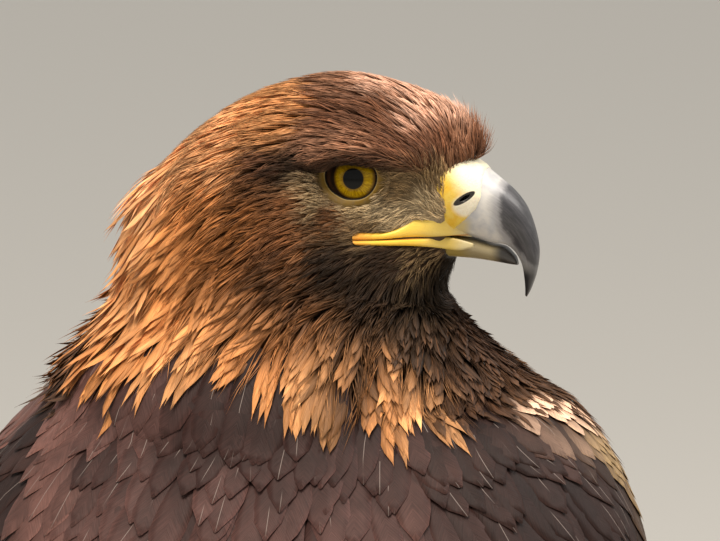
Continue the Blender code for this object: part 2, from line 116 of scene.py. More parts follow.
VIEW_TARGET = in_view(PICTURE[0] / 2, PICTURE[1] / 2)
VIEW_FROM = VIEW_TARGET + BACK * VIEW_DISTANCE
bpy.ops.object.camera_add(location=VIEW_FROM)
camera = bpy.context.object
camera.rotation_mode = "QUATERNION"
camera.rotation_quaternion = Vector(-BACK).to_track_quat("-Z", "Y")
camera.data.lens = camera.data.sensor_width * VIEW_DISTANCE / (PICTURE[0] * PIXEL)
camera.data.clip_start, camera.data.clip_end = 0.1, 500.0
bpy.context.scene.camera = camera
print("lens", round(camera.data.lens), "mm, camera height", round(VIEW_FROM[2], 2), "m")

# %% [markdown]
# The studio is a wide pale floor under a soft, even sky, with one broad lamp up and to the left
# of the camera and a weaker one from the far right. The lamps are large, so shadows are soft.

# %% Studio
FLOOR_SIZE = 400.0
bpy.ops.mesh.primitive_plane_add(size=FLOOR_SIZE)
floor = bpy.context.object
floor.name = "floor"
paint = bpy.data.materials.new("floor_paint")
sky = bpy.data.worlds.new("studio_sky")
for owner, node, uniform in (
        (paint, "Principled BSDF", {"Base Color": (0.62, 0.60, 0.56, 1), "Roughness": 0.9}),
        (sky, "Background", {"Color": (1.0, 0.97, 0.92, 1), "Strength": 0.62})):
    owner.use_nodes = True
    for socket, value in uniform.items():
        owner.node_tree.nodes[node].inputs[socket].default_value = value
floor.data.materials.append(paint)
bpy.context.scene.world = sky
bpy.context.scene.view_settings.view_transform = "Standard"


def lamp(name, aside, above, nearer, size, watts, colour):
    """A square lamp that looks at the head, placed in metres from it along the view."""
    place = EYE_FRONT + RIGHT * aside + ABOVE * above + BACK * nearer
    bpy.ops.object.light_add(type="AREA", location=place)
    made = bpy.context.object
    made.name = name
    made.data.size = size
    made.data.energy = watts
    made.data.color = colour
    made.rotation_mode = "QUATERNION"
    made.rotation_quaternion = Vector(EYE_FRONT - place).to_track_quat("-Z", "Y")


lamp("key_lamp", -0.5, 2.5, 1.4, 1.5, 122, (1.0, 0.90, 0.78))
lamp("front_lamp", 2.1, 1.9, -0.1, 1.2, 52, (1.0, 0.95, 0.90))

# %% [markdown]
# Materials are written as sums. A small class wraps a socket of a shader tree, and its
# operators add the Math nodes, so that a pattern reads like ordinary arithmetic. Anything that
# isn't arithmetic comes from one method that takes a kind of node, its settings and its inputs.

# %% Shader arithmetic
class Wire:
    """One output of a node, with which one can calculate."""

    def __init__(self, paint, socket):
        self.paint, self.socket = paint, socket

    def maths(self, operation, *terms):
        return self.paint.add("ShaderNodeMath", {"operation": operation}, dict(enumerate(terms)))

    def __add__(self, other):
        return self.maths("ADD", self, other)

    def __sub__(self, other):
        return self.maths("SUBTRACT", self, other)

    def __rsub__(self, other):
        return self.maths("SUBTRACT", other, self)

    def __mul__(self, other):
        return self.maths("MULTIPLY", self, other)

    def __truediv__(self, other):
        return self.maths("DIVIDE", self, other)

    __radd__, __rmul__ = __add__, __mul__

    def size(self):
        return self.maths("ABSOLUTE", self)

    def root(self):
        return self.maths("SQRT", self)

    def sine(self):
        return self.maths("SINE", self)

    def angle(self, across):
        """The angle of a direction, in radians: this far up, and so far across."""
        return self.maths("ARCTAN2", self, across)


class Paint:
    """A material under construction."""

    def __init__(self, name, roughness=0.5, **uniform):
        self.material = bpy.data.materials.new(name)
        self.material.use_nodes = True
        self.tree = self.material.node_tree
        self.shader = self.tree.nodes["Principled BSDF"]
        self.shader.inputs["Roughness"].default_value = roughness
        for socket, value in uniform.items():
            self.shader.inputs[socket.replace("_", " ")].default_value = value

    def add(self, kind, settings=None, inputs=None, output=0):
        """Adds a node: its settings first, then the values or links of its inputs."""
        node = self.tree.nodes.new(kind)
        for key, value in (settings or {}).items():
            setattr(node, key, value)
        for key, value in (inputs or {}).items():
            self.feed(node.inputs[key], value)
        return Wire(self, node.outputs[output])

    def feed(self, socket, value):
        if isinstance(value, Wire):
            self.tree.links.new(value.socket, socket)
        elif socket.type == "RGBA" and len(value) == 3:
            socket.default_value = (*value, 1.0)
        else:
            socket.default_value = value

    def read(self, attribute, output="Vector"):
        return self.add("ShaderNodeAttribute", {"attribute_name": attribute}, output=output)

    def parts(self, vector):
        """The three numbers of a vector."""
        apart = self.add("ShaderNodeSeparateXYZ", inputs={"Vector": vector})
        outputs = apart.socket.node.outputs
        return [Wire(self, outputs[k]) for k in range(3)]

    def vector(self, x, y, z):
        return self.add("ShaderNodeCombineXYZ", inputs={"X": x, "Y": y, "Z": z})

    def mix(self, first, second, share, way="MIX"):
        settings = {"data_type": "RGBA", "blend_type": way}
        return self.add("ShaderNodeMix", settings, {0: share, 6: first, 7: second}, output=2)

    def ease(self, value, low, high, start=0.0, end=1.0):
        """Goes smoothly from start to end as the value goes from low to high."""
        inputs = {"Value": value, "From Min": low, "From Max": high, "To Min": start, "To Max": end}
        return self.add("ShaderNodeMapRange", {"interpolation_type": "SMOOTHSTEP"}, inputs)

    def mottle(self, vector, scale=1.0, detail=2.0, roughness=0.5):
        inputs = {"Vector": vector, "Scale": scale, "Detail": detail, "Roughness": roughness}
        return self.add("ShaderNodeTexNoise", None, inputs)

    def layers(self, colour, rows):
        """Lays tones over a colour. Each row is a tone, then the ease that gives its share."""
        for tone, *ease in rows:
            colour = self.mix(colour, tone, self.ease(*ease))
        return colour

    def shade(self, colour, value):
        """Multiplies a colour by a number."""
        return self.mix(colour, self.vector(value, value, value), 1.0, "MULTIPLY")

    def finish(self, colour, height=None, relief=0.2, coat=0.0):
        """Feeds the shader. Height is in millimetres."""
        self.feed(self.shader.inputs["Base Color"], colour)
        self.feed(self.shader.inputs["Coat Weight"], coat)
        if height is not None:
            bump = self.add("ShaderNodeBump", None,
                            {"Strength": relief, "Distance": MM, "Height": height})
            self.feed(self.shader.inputs["Normal"], bump)
        return self.material


print("shader arithmetic ready")

# %% [markdown]
# Plumage colours are named here once, as reflectances. Skin, coat and single feathers all mix
# their colours from these names, so that the markings agree.

# %% Colours
COLOURS = {
    "gold_light": (0.980, 0.520, 0.245),
    "gold_pale": (0.760, 0.370, 0.150),
    "gold": (0.640, 0.262, 0.085),
    "gold_deep": (0.370, 0.138, 0.036),
    "russet": (0.245, 0.095, 0.034),
    # A painted highlight: the pale pink sheen that light from above gives the tips of the forehead
    # and front crown.
    "peach": (0.980, 0.600, 0.430),
    "crown_light": (0.390, 0.195, 0.112),
    "crown": (0.235, 0.098, 0.048),
    "crown_dark": (0.115, 0.047, 0.023),
    "cheek": (0.210, 0.085, 0.029),
    "dusk": (0.052, 0.026, 0.013),
    "soot": (0.022, 0.013, 0.006),
    "bristle": (0.560, 0.430, 0.255),
    # A darker bristle colour. Under the brow it stands as painted shade.
    "bristle_dim": (0.330, 0.220, 0.105),
    # A painted highlight: the mantle made lighter on the side towards the key lamp.
    "mantle_light": (0.132, 0.062, 0.051),
    "mantle": (0.030, 0.013, 0.011),
    "mantle_tip": (0.074, 0.035, 0.030),
    "wing": (0.014, 0.006, 0.005),
    "wing_tip": (0.021, 0.009, 0.007),
    "breast": (0.052, 0.024, 0.012),
    "breast_tip": (0.105, 0.050, 0.023),
    "buff": (0.950, 0.620, 0.430),
    "flight": (0.042, 0.028, 0.024),
    "flight_bar": (0.135, 0.105, 0.088),
    "leg": (0.130, 0.072, 0.038),
    "leg_pale": (0.400, 0.280, 0.175),
    "toe": (0.86, 0.56, 0.07),
}
print("colours:", len(COLOURS))

# %% [markdown]
# A few short tools are used by the cells below. They add a piece, select objects, apply
# modifiers, run an operator in edit mode, and move numbers between a mesh and an array.

# %% Small tools
def added(operator, **settings):
    """Adds a piece by an operator, and returns it with its corners."""
    operator(**settings)
    made = bpy.context.object
    return made, points_of(made.data)


def only(*objects):
    """Selects these objects and nothing else, the first one active."""
    bpy.ops.object.select_all(action="DESELECT")
    for obj in objects:
        obj.select_set(True)
    bpy.context.view_layer.objects.active = objects[0]


def apply_all(obj):
    only(obj)
    for modifier in list(obj.modifiers):
        bpy.ops.object.modifier_apply(modifier=modifier.name)


def edit(obj, operator, **settings):
    """Runs an operator on all of a mesh in edit mode."""
    only(obj)
    bpy.ops.object.mode_set(mode="EDIT")
    bpy.ops.mesh.select_all(action="SELECT")
    operator(**settings)
    bpy.ops.object.mode_set(mode="OBJECT")
    return obj


def face_outwards(obj):
    return edit(obj, bpy.ops.mesh.normals_make_consistent, inside=False)


def points_of(mesh, kind="vertices", field="co", width=3):
    found = np.empty(len(getattr(mesh, kind)) * width)
    getattr(mesh, kind).foreach_get(field, found)
    return found.reshape(-1, width)


def place_points(obj, points):
    """Moves the corners of a mesh to places in the scene."""
    obj.data.vertices.foreach_set("co", np.ravel(points))
    obj.data.update()


def give(obj, name, values, kind="FLOAT_VECTOR"):
    """Stores numbers at the corners of a mesh, under a name that materials can read."""
    made = obj.data.attributes.new(name, kind, "POINT")
    field = {"FLOAT_VECTOR": "vector", "FLOAT": "value", "FLOAT_COLOR": "color"}[kind]
    made.data.foreach_set(field, np.asarray(values, np.float32).ravel())


def unit(vectors):
    return vectors / np.maximum(np.linalg.norm(vectors, axis=-1), 1e-9)[..., None]


def tree_of(mesh):
    """A search tree of a mesh, for rays and for nearest places."""
    return BVHTree.FromPolygons([v.co for v in mesh.vertices],
                                [p.vertices for p in mesh.polygons])


print("tools ready")

# %% [markdown]
# Bill, cere and lips are lofts: a row of cross-sections strung along a line. A globe has just
# the right mesh for that. Its circles of latitude become the cross-sections, and its poles
# close the two ends. The tables list the cross-sections, read along a smooth curve.

# %% A loft from a globe
def smooth_rows(rows, t):
    """Reads a table at each t, from 0 to 1, along a smooth curve through its rows."""
    rows = np.asarray(rows, float)
    place = np.clip(np.asarray(t, float), 0, 1) * (len(rows) - 1)
    i = np.minimum(place.astype(int), len(rows) - 2)
    u = (place - i)[..., None]
    a, b, c, d = (rows[np.clip(i + k, 0, len(rows) - 1)] for k in (-1, 0, 1, 2))
    return 0.5 * (2 * b + (c - a) * u + (2 * a - 5 * b + 4 * c - d) * u**2
                  + (3 * b - a - 3 * c + d) * u**3)


def globe(name, stations, around, shape):
    """A closed loft. Shape turns station (0 to 1) and angle into head millimetres."""
    made, ball = added(bpy.ops.mesh.primitive_uv_sphere_add, segments=around,
                       ring_count=stations + 1, radius=1.0)
    made.name = name
    ring = np.arccos(np.clip(ball[:, 2], -1, 1)) / pi * (stations + 1) - 1
    t, angle = ring / (stations - 1), np.arctan2(ball[:, 1], ball[:, 0])
    places = shape(np.clip(t, 0, 1), angle)
    for pole, end in ((t < -1e-3, 0), (t > 1 + 1e-3, 1)):
        rim = shape(np.full(around, float(end)), np.arange(around) * 2 * pi / around)
        places[pole] = rim.mean(axis=0)
    place_points(made, from_head(places))
    give(made, "Head", places)
    face_outwards(made).data.shade_smooth()
    return made


# Forward and up along the ridge, forward and up along the cutting edge, half-width at the
# cutting edge and halfway up.
UPPER_BILL = [
    (22.0, 8.4, 20.0, -18.6, 13.4, 12.4),
    (27.0, 7.4, 26.0, -19.0, 12.8, 12.2),
    (32.0, 6.2, 31.0, -19.2, 11.8, 11.6),
    (38.0, 3.7, 36.0, -20.0, 10.2, 10.4),
    (44.2, -0.8, 41.9, -21.8, 8.2, 9.0),
    (49.2, -4.9, 46.5, -22.4, 6.4, 7.4),
    (53.2, -10.0, 49.2, -24.2, 4.9, 6.0),
    (56.0, -17.0, 51.0, -26.8, 3.8, 4.7),
    (57.4, -24.0, 52.0, -29.5, 2.9, 3.7),
    (56.8, -30.6, 52.5, -32.8, 2.1, 2.7),
    (55.0, -36.4, 52.8, -36.2, 1.3, 1.7),
    (53.4, -39.6, 52.8, -39.2, 0.5, 0.6),
]
LOWER_BILL = [
    (20.0, -19.4, 20.0, -26.0, 12.4, 9.0),
    (26.0, -19.6, 26.0, -26.3, 11.6, 8.4),
    (31.5, -19.9, 31.5, -26.7, 10.4, 7.4),
    (37.0, -21.0, 37.5, -27.2, 8.8, 6.2),
    (42.0, -22.6, 43.0, -28.0, 7.0, 4.8),
    (46.2, -23.4, 48.0, -28.9, 4.8, 3.3),
    (49.4, -26.2, 50.4, -29.2, 2.6, 1.9),
]


def upper_bill(t, angle, grown=0.0):
    """The upper bill's surface, moved outwards by some millimetres."""
    ridge_f, ridge_u, rim_f, rim_u, edge, halfway = smooth_rows(UPPER_BILL, t).T
    share, bulge = (1 - np.cos(angle)) / 2, np.sin(angle)
    wide = halfway * np.abs(bulge) ** 0.8 * (1 - share) + edge * np.sqrt(share * np.abs(bulge))
    height = np.hypot(ridge_f - rim_f, ridge_u - rim_u)
    share = share * (1 + 2 * grown / height) - grown / height
    forward = ridge_f + (rim_f - ridge_f) * share
    up = ridge_u + (rim_u - ridge_u) * share
    return np.stack([forward, (wide + grown) * np.sign(bulge), up], axis=1)


def lower_bill(t, angle, grown=0.0):
    rim_f, rim_u, keel_f, keel_u, edge, keel = smooth_rows(LOWER_BILL, t).T
    share = (1 - np.cos(angle)) / 2
    wide = (edge * (1 - share) + keel * share) * np.abs(np.sin(angle)) ** 0.45 + grown
    height = rim_u - keel_u
    share = share * (1 + 2 * grown / height) - grown / height
    return np.stack([rim_f + (keel_f - rim_f) * share, wide * np.sign(np.sin(angle)),
                     rim_u + (keel_u - rim_u) * share], axis=1)


print("bill tables:", len(UPPER_BILL), "and", len(LOWER_BILL), "cross-sections")

# %% [markdown]
# The skin is what would be left if the feathers came off. A copy of every solid of flesh is
# joined to the others, swollen a little so that the thin gaps between them close, and turned by
# the Remesh modifier into one surface of even squares. Its seams are gone after a light
# smoothing. The feathers need room, so in the next cell the surface sinks by the depth of the
# coat: one to three millimetres on the face, nine on the neck and back, and none on the toes.

# %% Join the flesh
FLESH = sorted(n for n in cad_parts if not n.startswith(("bill", "claw", "eye")))
SKIN_SQUARE = 3.0 * MM
SWELL = 0.6 * MM


def merged_copy(node, name):
    """A copy of a solid whose loose triangles are sewn together."""
    made = bpy.data.objects.new(name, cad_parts[node].data.copy())
    bpy.context.scene.collection.objects.link(made)
    made.data.materials.clear()
    return edit(made, bpy.ops.mesh.remove_doubles, threshold=1e-5)


copies = [merged_copy(node, f"copy_{node}") for node in FLESH]
shells, shell_nodes, start = [], [], 0
for number, piece in enumerate(copies):
    mesh = piece.data
    shells.append((points_of(mesh), [list(p.vertices) for p in mesh.polygons]))
    shell_nodes += [number] * len(mesh.polygons)
corners = np.concatenate([points for points, faces in shells])
offsets = np.cumsum([0] + [len(points) for points, faces in shells[:-1]])
outer_faces = [[v + int(o) for v in face] for (points, faces), o in zip(shells, offsets)
               for face in faces]
OUTSIDE = BVHTree.FromPolygons(corners.tolist(), outer_faces)

# The flesh closes round the root of the bill in a short sleeve: its thickness, and how far
# along the upper and the lower bill it goes.
SLEEVE, SLEEVE_ABOVE, SLEEVE_BELOW = 1.3, 0.172, 0.30
for bill, reach in ((upper_bill, SLEEVE_ABOVE), (lower_bill, SLEEVE_BELOW)):
    copies.append(globe("sleeve", 6, 40, lambda t, angle: bill(t * reach, angle, SLEEVE)))
only(*copies)
bpy.ops.object.join()
skin = bpy.context.object
skin.name = "skin"
swell = skin.modifiers.new("swell", "DISPLACE")
swell.strength, swell.mid_level = SWELL, 0.0
remesh = skin.modifiers.new("fuse", "REMESH")
remesh.mode, remesh.voxel_size = "VOXEL", SKIN_SQUARE
soften = skin.modifiers.new("soften", "SMOOTH")
soften.iterations = 4
apply_all(skin)
print("skin squares:", len(skin.data.polygons))

# %% [markdown]
# Squares of three millimetres are too coarse for a face. Those near the eyes and the bill are
# cut in four by the Subdivide operator before the surface sinks.

# %% Refine the face and sink the skin
FACE_REACH = 46.0
FACE_CENTRE = (10.0, 0.0, -6.0)
mesh = skin.data
only(skin)
bpy.ops.object.mode_set(mode="EDIT")
bpy.ops.mesh.select_mode(type="FACE")
bpy.ops.mesh.select_all(action="DESELECT")
bpy.ops.object.mode_set(mode="OBJECT")
apart = np.linalg.norm(to_head(points_of(mesh, "polygons", "center")) - FACE_CENTRE, axis=1)
in_face = apart < FACE_REACH
mesh.polygons.foreach_set("select", in_face)
chosen = np.zeros(len(mesh.vertices), bool)
for k in np.flatnonzero(in_face):
    chosen[list(mesh.polygons[int(k)].vertices)] = True
mesh.vertices.foreach_set("select", chosen)
mesh.update()
bpy.ops.object.mode_set(mode="EDIT")
bpy.ops.mesh.subdivide(number_cuts=1, smoothness=0.0)
bpy.ops.mesh.quads_convert_to_tris()
bpy.ops.mesh.select_all(action="SELECT")
bpy.ops.mesh.quads_convert_to_tris()
bpy.ops.object.mode_set(mode="OBJECT")

# Depth of the coat in millimetres over each part.
COAT = {"head": 2.6, "neck": 9.0, "trunk": 9.0, "arm": 6.0, "secondaries": 4.0, "primaries": 1.6,
        "tail": 1.6, "thigh": 7.0, "tarsus": 2.4, "foot": 0.0}
# On the head: place, depth and reach. A place off the middle stands for both sides.
HEAD_COATS = [((-60, 0, -5), 7.0, 26), ((-45, 0, 30), 4.0, 20), ((0, 0, 36), 2.6, 20),
              ((25, 0, 26), 2.2, 14), ((-40, 30, -25), 4.6, 18), ((-10, 24, -25), 2.8, 14),
              ((18, 18, -8), 1.2, 12), ((0, 26, -4), 0.9, 10), ((15, 0, -38), 2.6, 16),
              ((-20, 0, -50), 5.0, 20), ((30, 12, -8), 0.3, 7), ((28, 0, -27), 0.5, 8),
              ((20, 15, -20), 0.5, 8)]
COAT_OF = np.array([next(COAT[part] for part in COAT if part in name) for name in FLESH])
HEAD = FLESH.index("head")


def coat_depth(points):
    """The depth of the coat over a place, before it is smoothed, and the solid under it."""
    nodes = np.array([shell_nodes[OUTSIDE.find_nearest(p)[2]] for p in points.tolist()])
    depth = COAT_OF[nodes]
    on_head = nodes == HEAD
    places = to_head(points[on_head])
    total, weight = np.zeros(len(places)), np.zeros(len(places))
    for place, value, reach in HEAD_COATS:
        for side in (1, -1) if place[1] else (1,):
            apart = np.sum((places - np.multiply(place, (1, side, 1))) ** 2, axis=1)
            near = 1.0 / (apart / reach**2 + 0.05) ** 2
            total += near * value
            weight += near
    depth[on_head] = total / weight
    return depth * MM, nodes


def edge_pairs(mesh):
    found = np.empty(len(mesh.edges) * 2, np.int64)
    mesh.edges.foreach_get("vertices", found)
    return found.reshape(-1, 2)


def neighbour_mean(values, pairs, rounds):
    """Averages a value at each vertex with its neighbours, again and again."""
    count = np.bincount(pairs.ravel(), minlength=len(values)).astype(float)
    flat = values.reshape(len(values), -1)
    for _ in range(rounds):
        total = np.zeros_like(flat)
        for column in range(flat.shape[1]):
            total[:, column] = (
                np.bincount(pairs[:, 0], weights=flat[pairs[:, 1], column], minlength=len(flat))
                + np.bincount(pairs[:, 1], weights=flat[pairs[:, 0], column], minlength=len(flat)))
        flat = 0.5 * flat + 0.5 * total / count[:, None]
    return flat.reshape(values.shape)


SKIN_POINTS = points_of(mesh)
pairs = edge_pairs(mesh)
SKIN_DEPTH, SKIN_NODES = coat_depth(SKIN_POINTS)
SKIN_DEPTH = neighbour_mean(SKIN_DEPTH, pairs, 10)
normals = unit(neighbour_mean(points_of(mesh, "vertices", "normal"), pairs, 3))
SKIN_POINTS = SKIN_POINTS - normals * (SKIN_DEPTH + SWELL)[:, None]
SKIN_POINTS[:, 2] = np.maximum(SKIN_POINTS[:, 2], 0.0)
SKIN_POINTS = 0.5 * SKIN_POINTS + 0.5 * neighbour_mean(SKIN_POINTS, pairs, 2)
place_points(skin, SKIN_POINTS)
print("skin triangles:", len(mesh.polygons), "depth", (SKIN_DEPTH / MM).min().round(2),
      "to", (SKIN_DEPTH / MM).max().round(2), "mm")

# %% [markdown]
# The eye sits in an orbit. Behind and below it the cheek stands out beyond the ball, so the
# skin is pressed in there to slope down to the lids. Above it the brow is drawn out to a ledge
# that shades the eye, which gives an eagle its stern look. First the shapes are told: the
# outline of the eye's opening, and how far out the face lies at each place of the profile.

# %% Shape the orbits
# The opening of the eye, forward and up in head millimetres, from the rear corner round below.
OPENING = [(-9.7, 1.4), (-8.2, -2.3), (-4.8, -4.5), (0.1, -5.7), (4.4, -4.8), (7.1, -1.8),
           (7.9, 1.7), (6.8, 4.4), (3.2, 6.2), (-1.8, 6.6), (-6.2, 5.5), (-8.9, 3.6)]
OPENING_CENTRE = np.array((-0.6, 0.4))
outline = np.array(OPENING) - OPENING_CENTRE
opening_angle = np.arctan2(outline[:, 1], outline[:, 0]) % (2 * pi)
order = np.argsort(opening_angle)
opening_angle, opening_reach = opening_angle[order], np.hypot(*outline[order].T)
OPENING_ANGLE = np.concatenate([opening_angle - 2 * pi, opening_angle, opening_angle + 2 * pi])
OPENING_REACH = np.tile(opening_reach, 3)
# The lower edge of the brow: forward and up.
BROW_EDGE = np.array([(-26.0, 1.0), (-19.5, 3.4), (-8.6, 6.6), (3.8, 6.6), (8.5, 5.6),
                      (16.0, 4.0), (24.0, 2.6), (30.0, 2.2)])
BROW_OUT = 2.4


def opening_radius(angle):
    """How far the opening's edge lies from its centre, at each angle."""
    near = np.linspace(-0.22, 0.22, 7)
    turned = np.asarray(angle) % (2 * pi)
    return np.mean([np.interp(turned + n, OPENING_ANGLE, OPENING_REACH) for n in near], axis=0)


def from_opening(forward, up):
    """Angle round the eye and distance outside its opening, in millimetres."""
    dx, dy = forward - OPENING_CENTRE[0], up - OPENING_CENTRE[1]
    angle = np.arctan2(dy, dx)
    return angle, np.hypot(dx, dy) - opening_radius(angle)


# In millimetres to the side: where rays start, and the answer of those that meet nothing.
FAR_OUT, NOTHING_THERE = 60.0, 12.0
sunk_skin = tree_of(mesh)


def face_side(forward, up, *trees):
    """How far out the face lies at a place of its profile, on the right side."""
    start = Vector(from_head((forward, -FAR_OUT, up)))
    found = [tree.ray_cast(start, Vector(HEAD_SIDE))[0] for tree in trees]
    return max([-to_head(np.array(spot))[1] for spot in found if spot] or [NOTHING_THERE])


# The base under the lids: from the ball at the opening's edge to the face beyond the orbit.
ring_angle = np.linspace(0, 2 * pi, 73)
below_brow = np.clip((0.45 - np.sin(ring_angle)) / 0.5, 0, 1)
ring_edge = opening_radius(ring_angle)
edge_f = OPENING_CENTRE[0] + ring_edge * np.cos(ring_angle)
edge_u = OPENING_CENTRE[1] + ring_edge * np.sin(ring_angle)
edge_off = np.hypot(edge_f - EYE_FORWARD, edge_u - EYE_UP)
RING_BALL = EYE_OFFSET + np.sqrt(np.maximum(EYE_RADIUS**2 - edge_off**2, 0))
RING_WIDE = 5.6 + 3.4 * np.clip(-np.cos(ring_angle), 0, 1) ** 2
ring_face = np.array([face_side(f + (w + 1) * cos(a), u + (w + 1) * sin(a), sunk_skin)
                      for f, u, w, a in zip(edge_f, edge_u, RING_WIDE, ring_angle)])
RING_FACE = RING_BALL + np.clip(ring_face - RING_BALL, -2.5, 0.8 + 4.7 * below_brow)


def orbit_base(angle, away):
    """How far out the ground under the lids lies."""
    turned = np.asarray(angle) % (2 * pi)
    ball, face, wide = (np.interp(turned, ring_angle, v)
                        for v in (RING_BALL, RING_FACE, RING_WIDE))
    return ball + (face - ball) * np.clip(away / wide, 0, 1) ** 1.25


def smooth_step(value, low, high):
    share = np.clip((value - low) / (high - low), 0, 1)
    return share * share * (3 - 2 * share)


places = to_head(SKIN_POINTS)
side_sign = np.sign(places[:, 1])
out = np.abs(places[:, 1])
near_eye = (SKIN_NODES == HEAD) & (out > 9) & (places[:, 0] > -32)
angle, away = from_opening(places[:, 0], places[:, 2])
wide = np.interp(angle % (2 * pi), ring_angle, RING_WIDE)
press = 1 - smooth_step(away, 0.75 * wide, 1.5 * wide)
press *= 1 - smooth_step(np.sin(angle), 0.2, 0.5) * (away > 0)
wanted = orbit_base(angle, away) - 0.6
out = np.where(near_eye, np.minimum(out, out + (wanted - out) * press), out)
above_edge = places[:, 2] - np.interp(places[:, 0], *BROW_EDGE.T)
ledge = np.exp(-((above_edge - 2.2) / np.where(above_edge < 2.2, 1.3, 3.6)) ** 2)
ledge *= smooth_step(places[:, 0], -24, -12) * (1 - smooth_step(places[:, 0], 14, 27))
out = np.where(near_eye, out + BROW_OUT * ledge, out)
places[:, 1] = out * side_sign
SKIN_POINTS = from_head(places)
place_points(skin, SKIN_POINTS)
sunk_skin = tree_of(mesh)
print("orbit: ball", RING_BALL.min().round(1), "face", RING_FACE.max().round(1), "mm out")

# %% [markdown]
# The lids are part of the skin. On each side a band of bare, wrinkled skin rims the opening of
# the eye. The band starts on the eyeball, rises to a soft roll, dips into a crease, and then
# sinks into the face. A torus gives the mesh: its long way round follows the opening, its
# short way the band's profile.

# %% Lids
# The band's profile: millimetres away from the opening, and millimetres above the base.
LID_PROFILE = [(0.0, -0.5), (-0.08, 0.02), (0.05, 0.35), (0.45, 0.68), (1.1, 0.80), (1.8, 0.66),
               (2.4, 0.36), (2.8, 0.02), (3.3, 0.22), (4.2, 0.12), (5.4, -1.4), (2.5, -2.2)]
LID_RING = 64
LONG_WAY, SHORT_WAY = 2.0, 0.5
OFF_THE_LID = 9.0
LID_COAT = 0.6 * MM


def lid(side):
    """One ring of lid skin round the eye of a side (1 left, -1 right)."""
    made, torus = added(bpy.ops.mesh.primitive_torus_add, major_segments=LID_RING,
                        minor_segments=len(LID_PROFILE), major_radius=LONG_WAY,
                        minor_radius=SHORT_WAY)
    angle = np.arctan2(torus[:, 1], torus[:, 0])
    minor = np.arctan2(torus[:, 2], np.hypot(torus[:, 0], torus[:, 1]) - LONG_WAY)
    step = np.round(minor / (2 * pi) * len(LID_PROFILE)).astype(int) % len(LID_PROFILE)
    away, above = np.array(LID_PROFILE)[step].T
    wrinkle = 0.06 * np.sin(angle * 23 + away * 3) * (away > 0.9) * (away < 4.5)
    reach = opening_radius(angle) + away
    forward = OPENING_CENTRE[0] + reach * np.cos(angle)
    up = OPENING_CENTRE[1] + reach * np.sin(angle)
    out = orbit_base(angle, away) + above + wrinkle
    places = np.stack([forward, out * side, up], axis=1)
    place_points(made, from_head(places))
    give(made, "Lid", away + (above < -0.8) * OFF_THE_LID, "FLOAT")
    return face_outwards(made)


lids = [lid(side) for side in (1, -1)]
give(skin, "Lid", np.full(len(mesh.vertices), OFF_THE_LID), "FLOAT")
only(skin, *lids)
bpy.ops.object.join()
more = len(mesh.vertices) - len(SKIN_POINTS)
SKIN_DEPTH = np.concatenate([SKIN_DEPTH, np.full(more, LID_COAT)])
SKIN_NODES = np.concatenate([SKIN_NODES, np.full(more, HEAD)])
SKIN_POINTS = points_of(mesh)
edit(skin, bpy.ops.mesh.quads_convert_to_tris)
pairs = edge_pairs(mesh)
print("skin triangles with lids:", len(mesh.polygons))

# %% [markdown]
# The skin is unwrapped by its own shape. Each feather will take a tiny patch of this map, at its
# root's place, for its own baking map. The skin's search tree, normals and depths are kept,
# because every feather asks them where to lie.

# %% Unwrap the skin
edit(skin, bpy.ops.uv.smart_project, angle_limit=radians(66), island_margin=0.002)
mesh.uv_layers[0].name = "OFBake"
SKIN_FACES = points_of(mesh, "polygons", "vertices").astype(int)
SKIN_UV = points_of(mesh.uv_layers[0], "data", "uv", 2).reshape(-1, 3, 2)
SKIN_NORMALS = unit(neighbour_mean(points_of(mesh, "vertices", "normal"), pairs, 4))
SKIN_TREE = tree_of(mesh)
TRI = SKIN_POINTS[SKIN_FACES]
AREA = np.linalg.norm(np.cross(TRI[:, 1] - TRI[:, 0], TRI[:, 2] - TRI[:, 0]), axis=1) / 2
FACE_MIDDLE = TRI.mean(axis=1)
FACE_NORMAL = unit(SKIN_NORMALS[SKIN_FACES].mean(axis=1))
FACE_DEPTH = SKIN_DEPTH[SKIN_FACES].mean(axis=1)
FACE_NODE = SKIN_NODES[SKIN_FACES[:, 0]]
print("skin area:", round(AREA.sum(), 3), "square metres")


def on_skin(points):
    """The nearest places on the skin, with their normals, coat depths and faces."""
    found = [SKIN_TREE.find_nearest(p) for p in points.tolist()]
    faces = np.array([f[2] for f in found])
    places = np.array([f[0] for f in found])
    return places, FACE_NORMAL[faces], FACE_DEPTH[faces], faces


# %% [markdown]
# The eyeball is a globe of its full, real size, most of it hidden in the head. The iris is
# amber, darker at its rim and round the pupil, with fine rays, and its top is darkened as
# painted shade of the brow. Beyond the iris the ball is nearly black. A clear coat gives the
# wet shine, and the cornea bulges a little.

# %% Eyeballs
IRIS, PUPIL = 6.9, 3.4
GAZE = (0.1, 0.75)


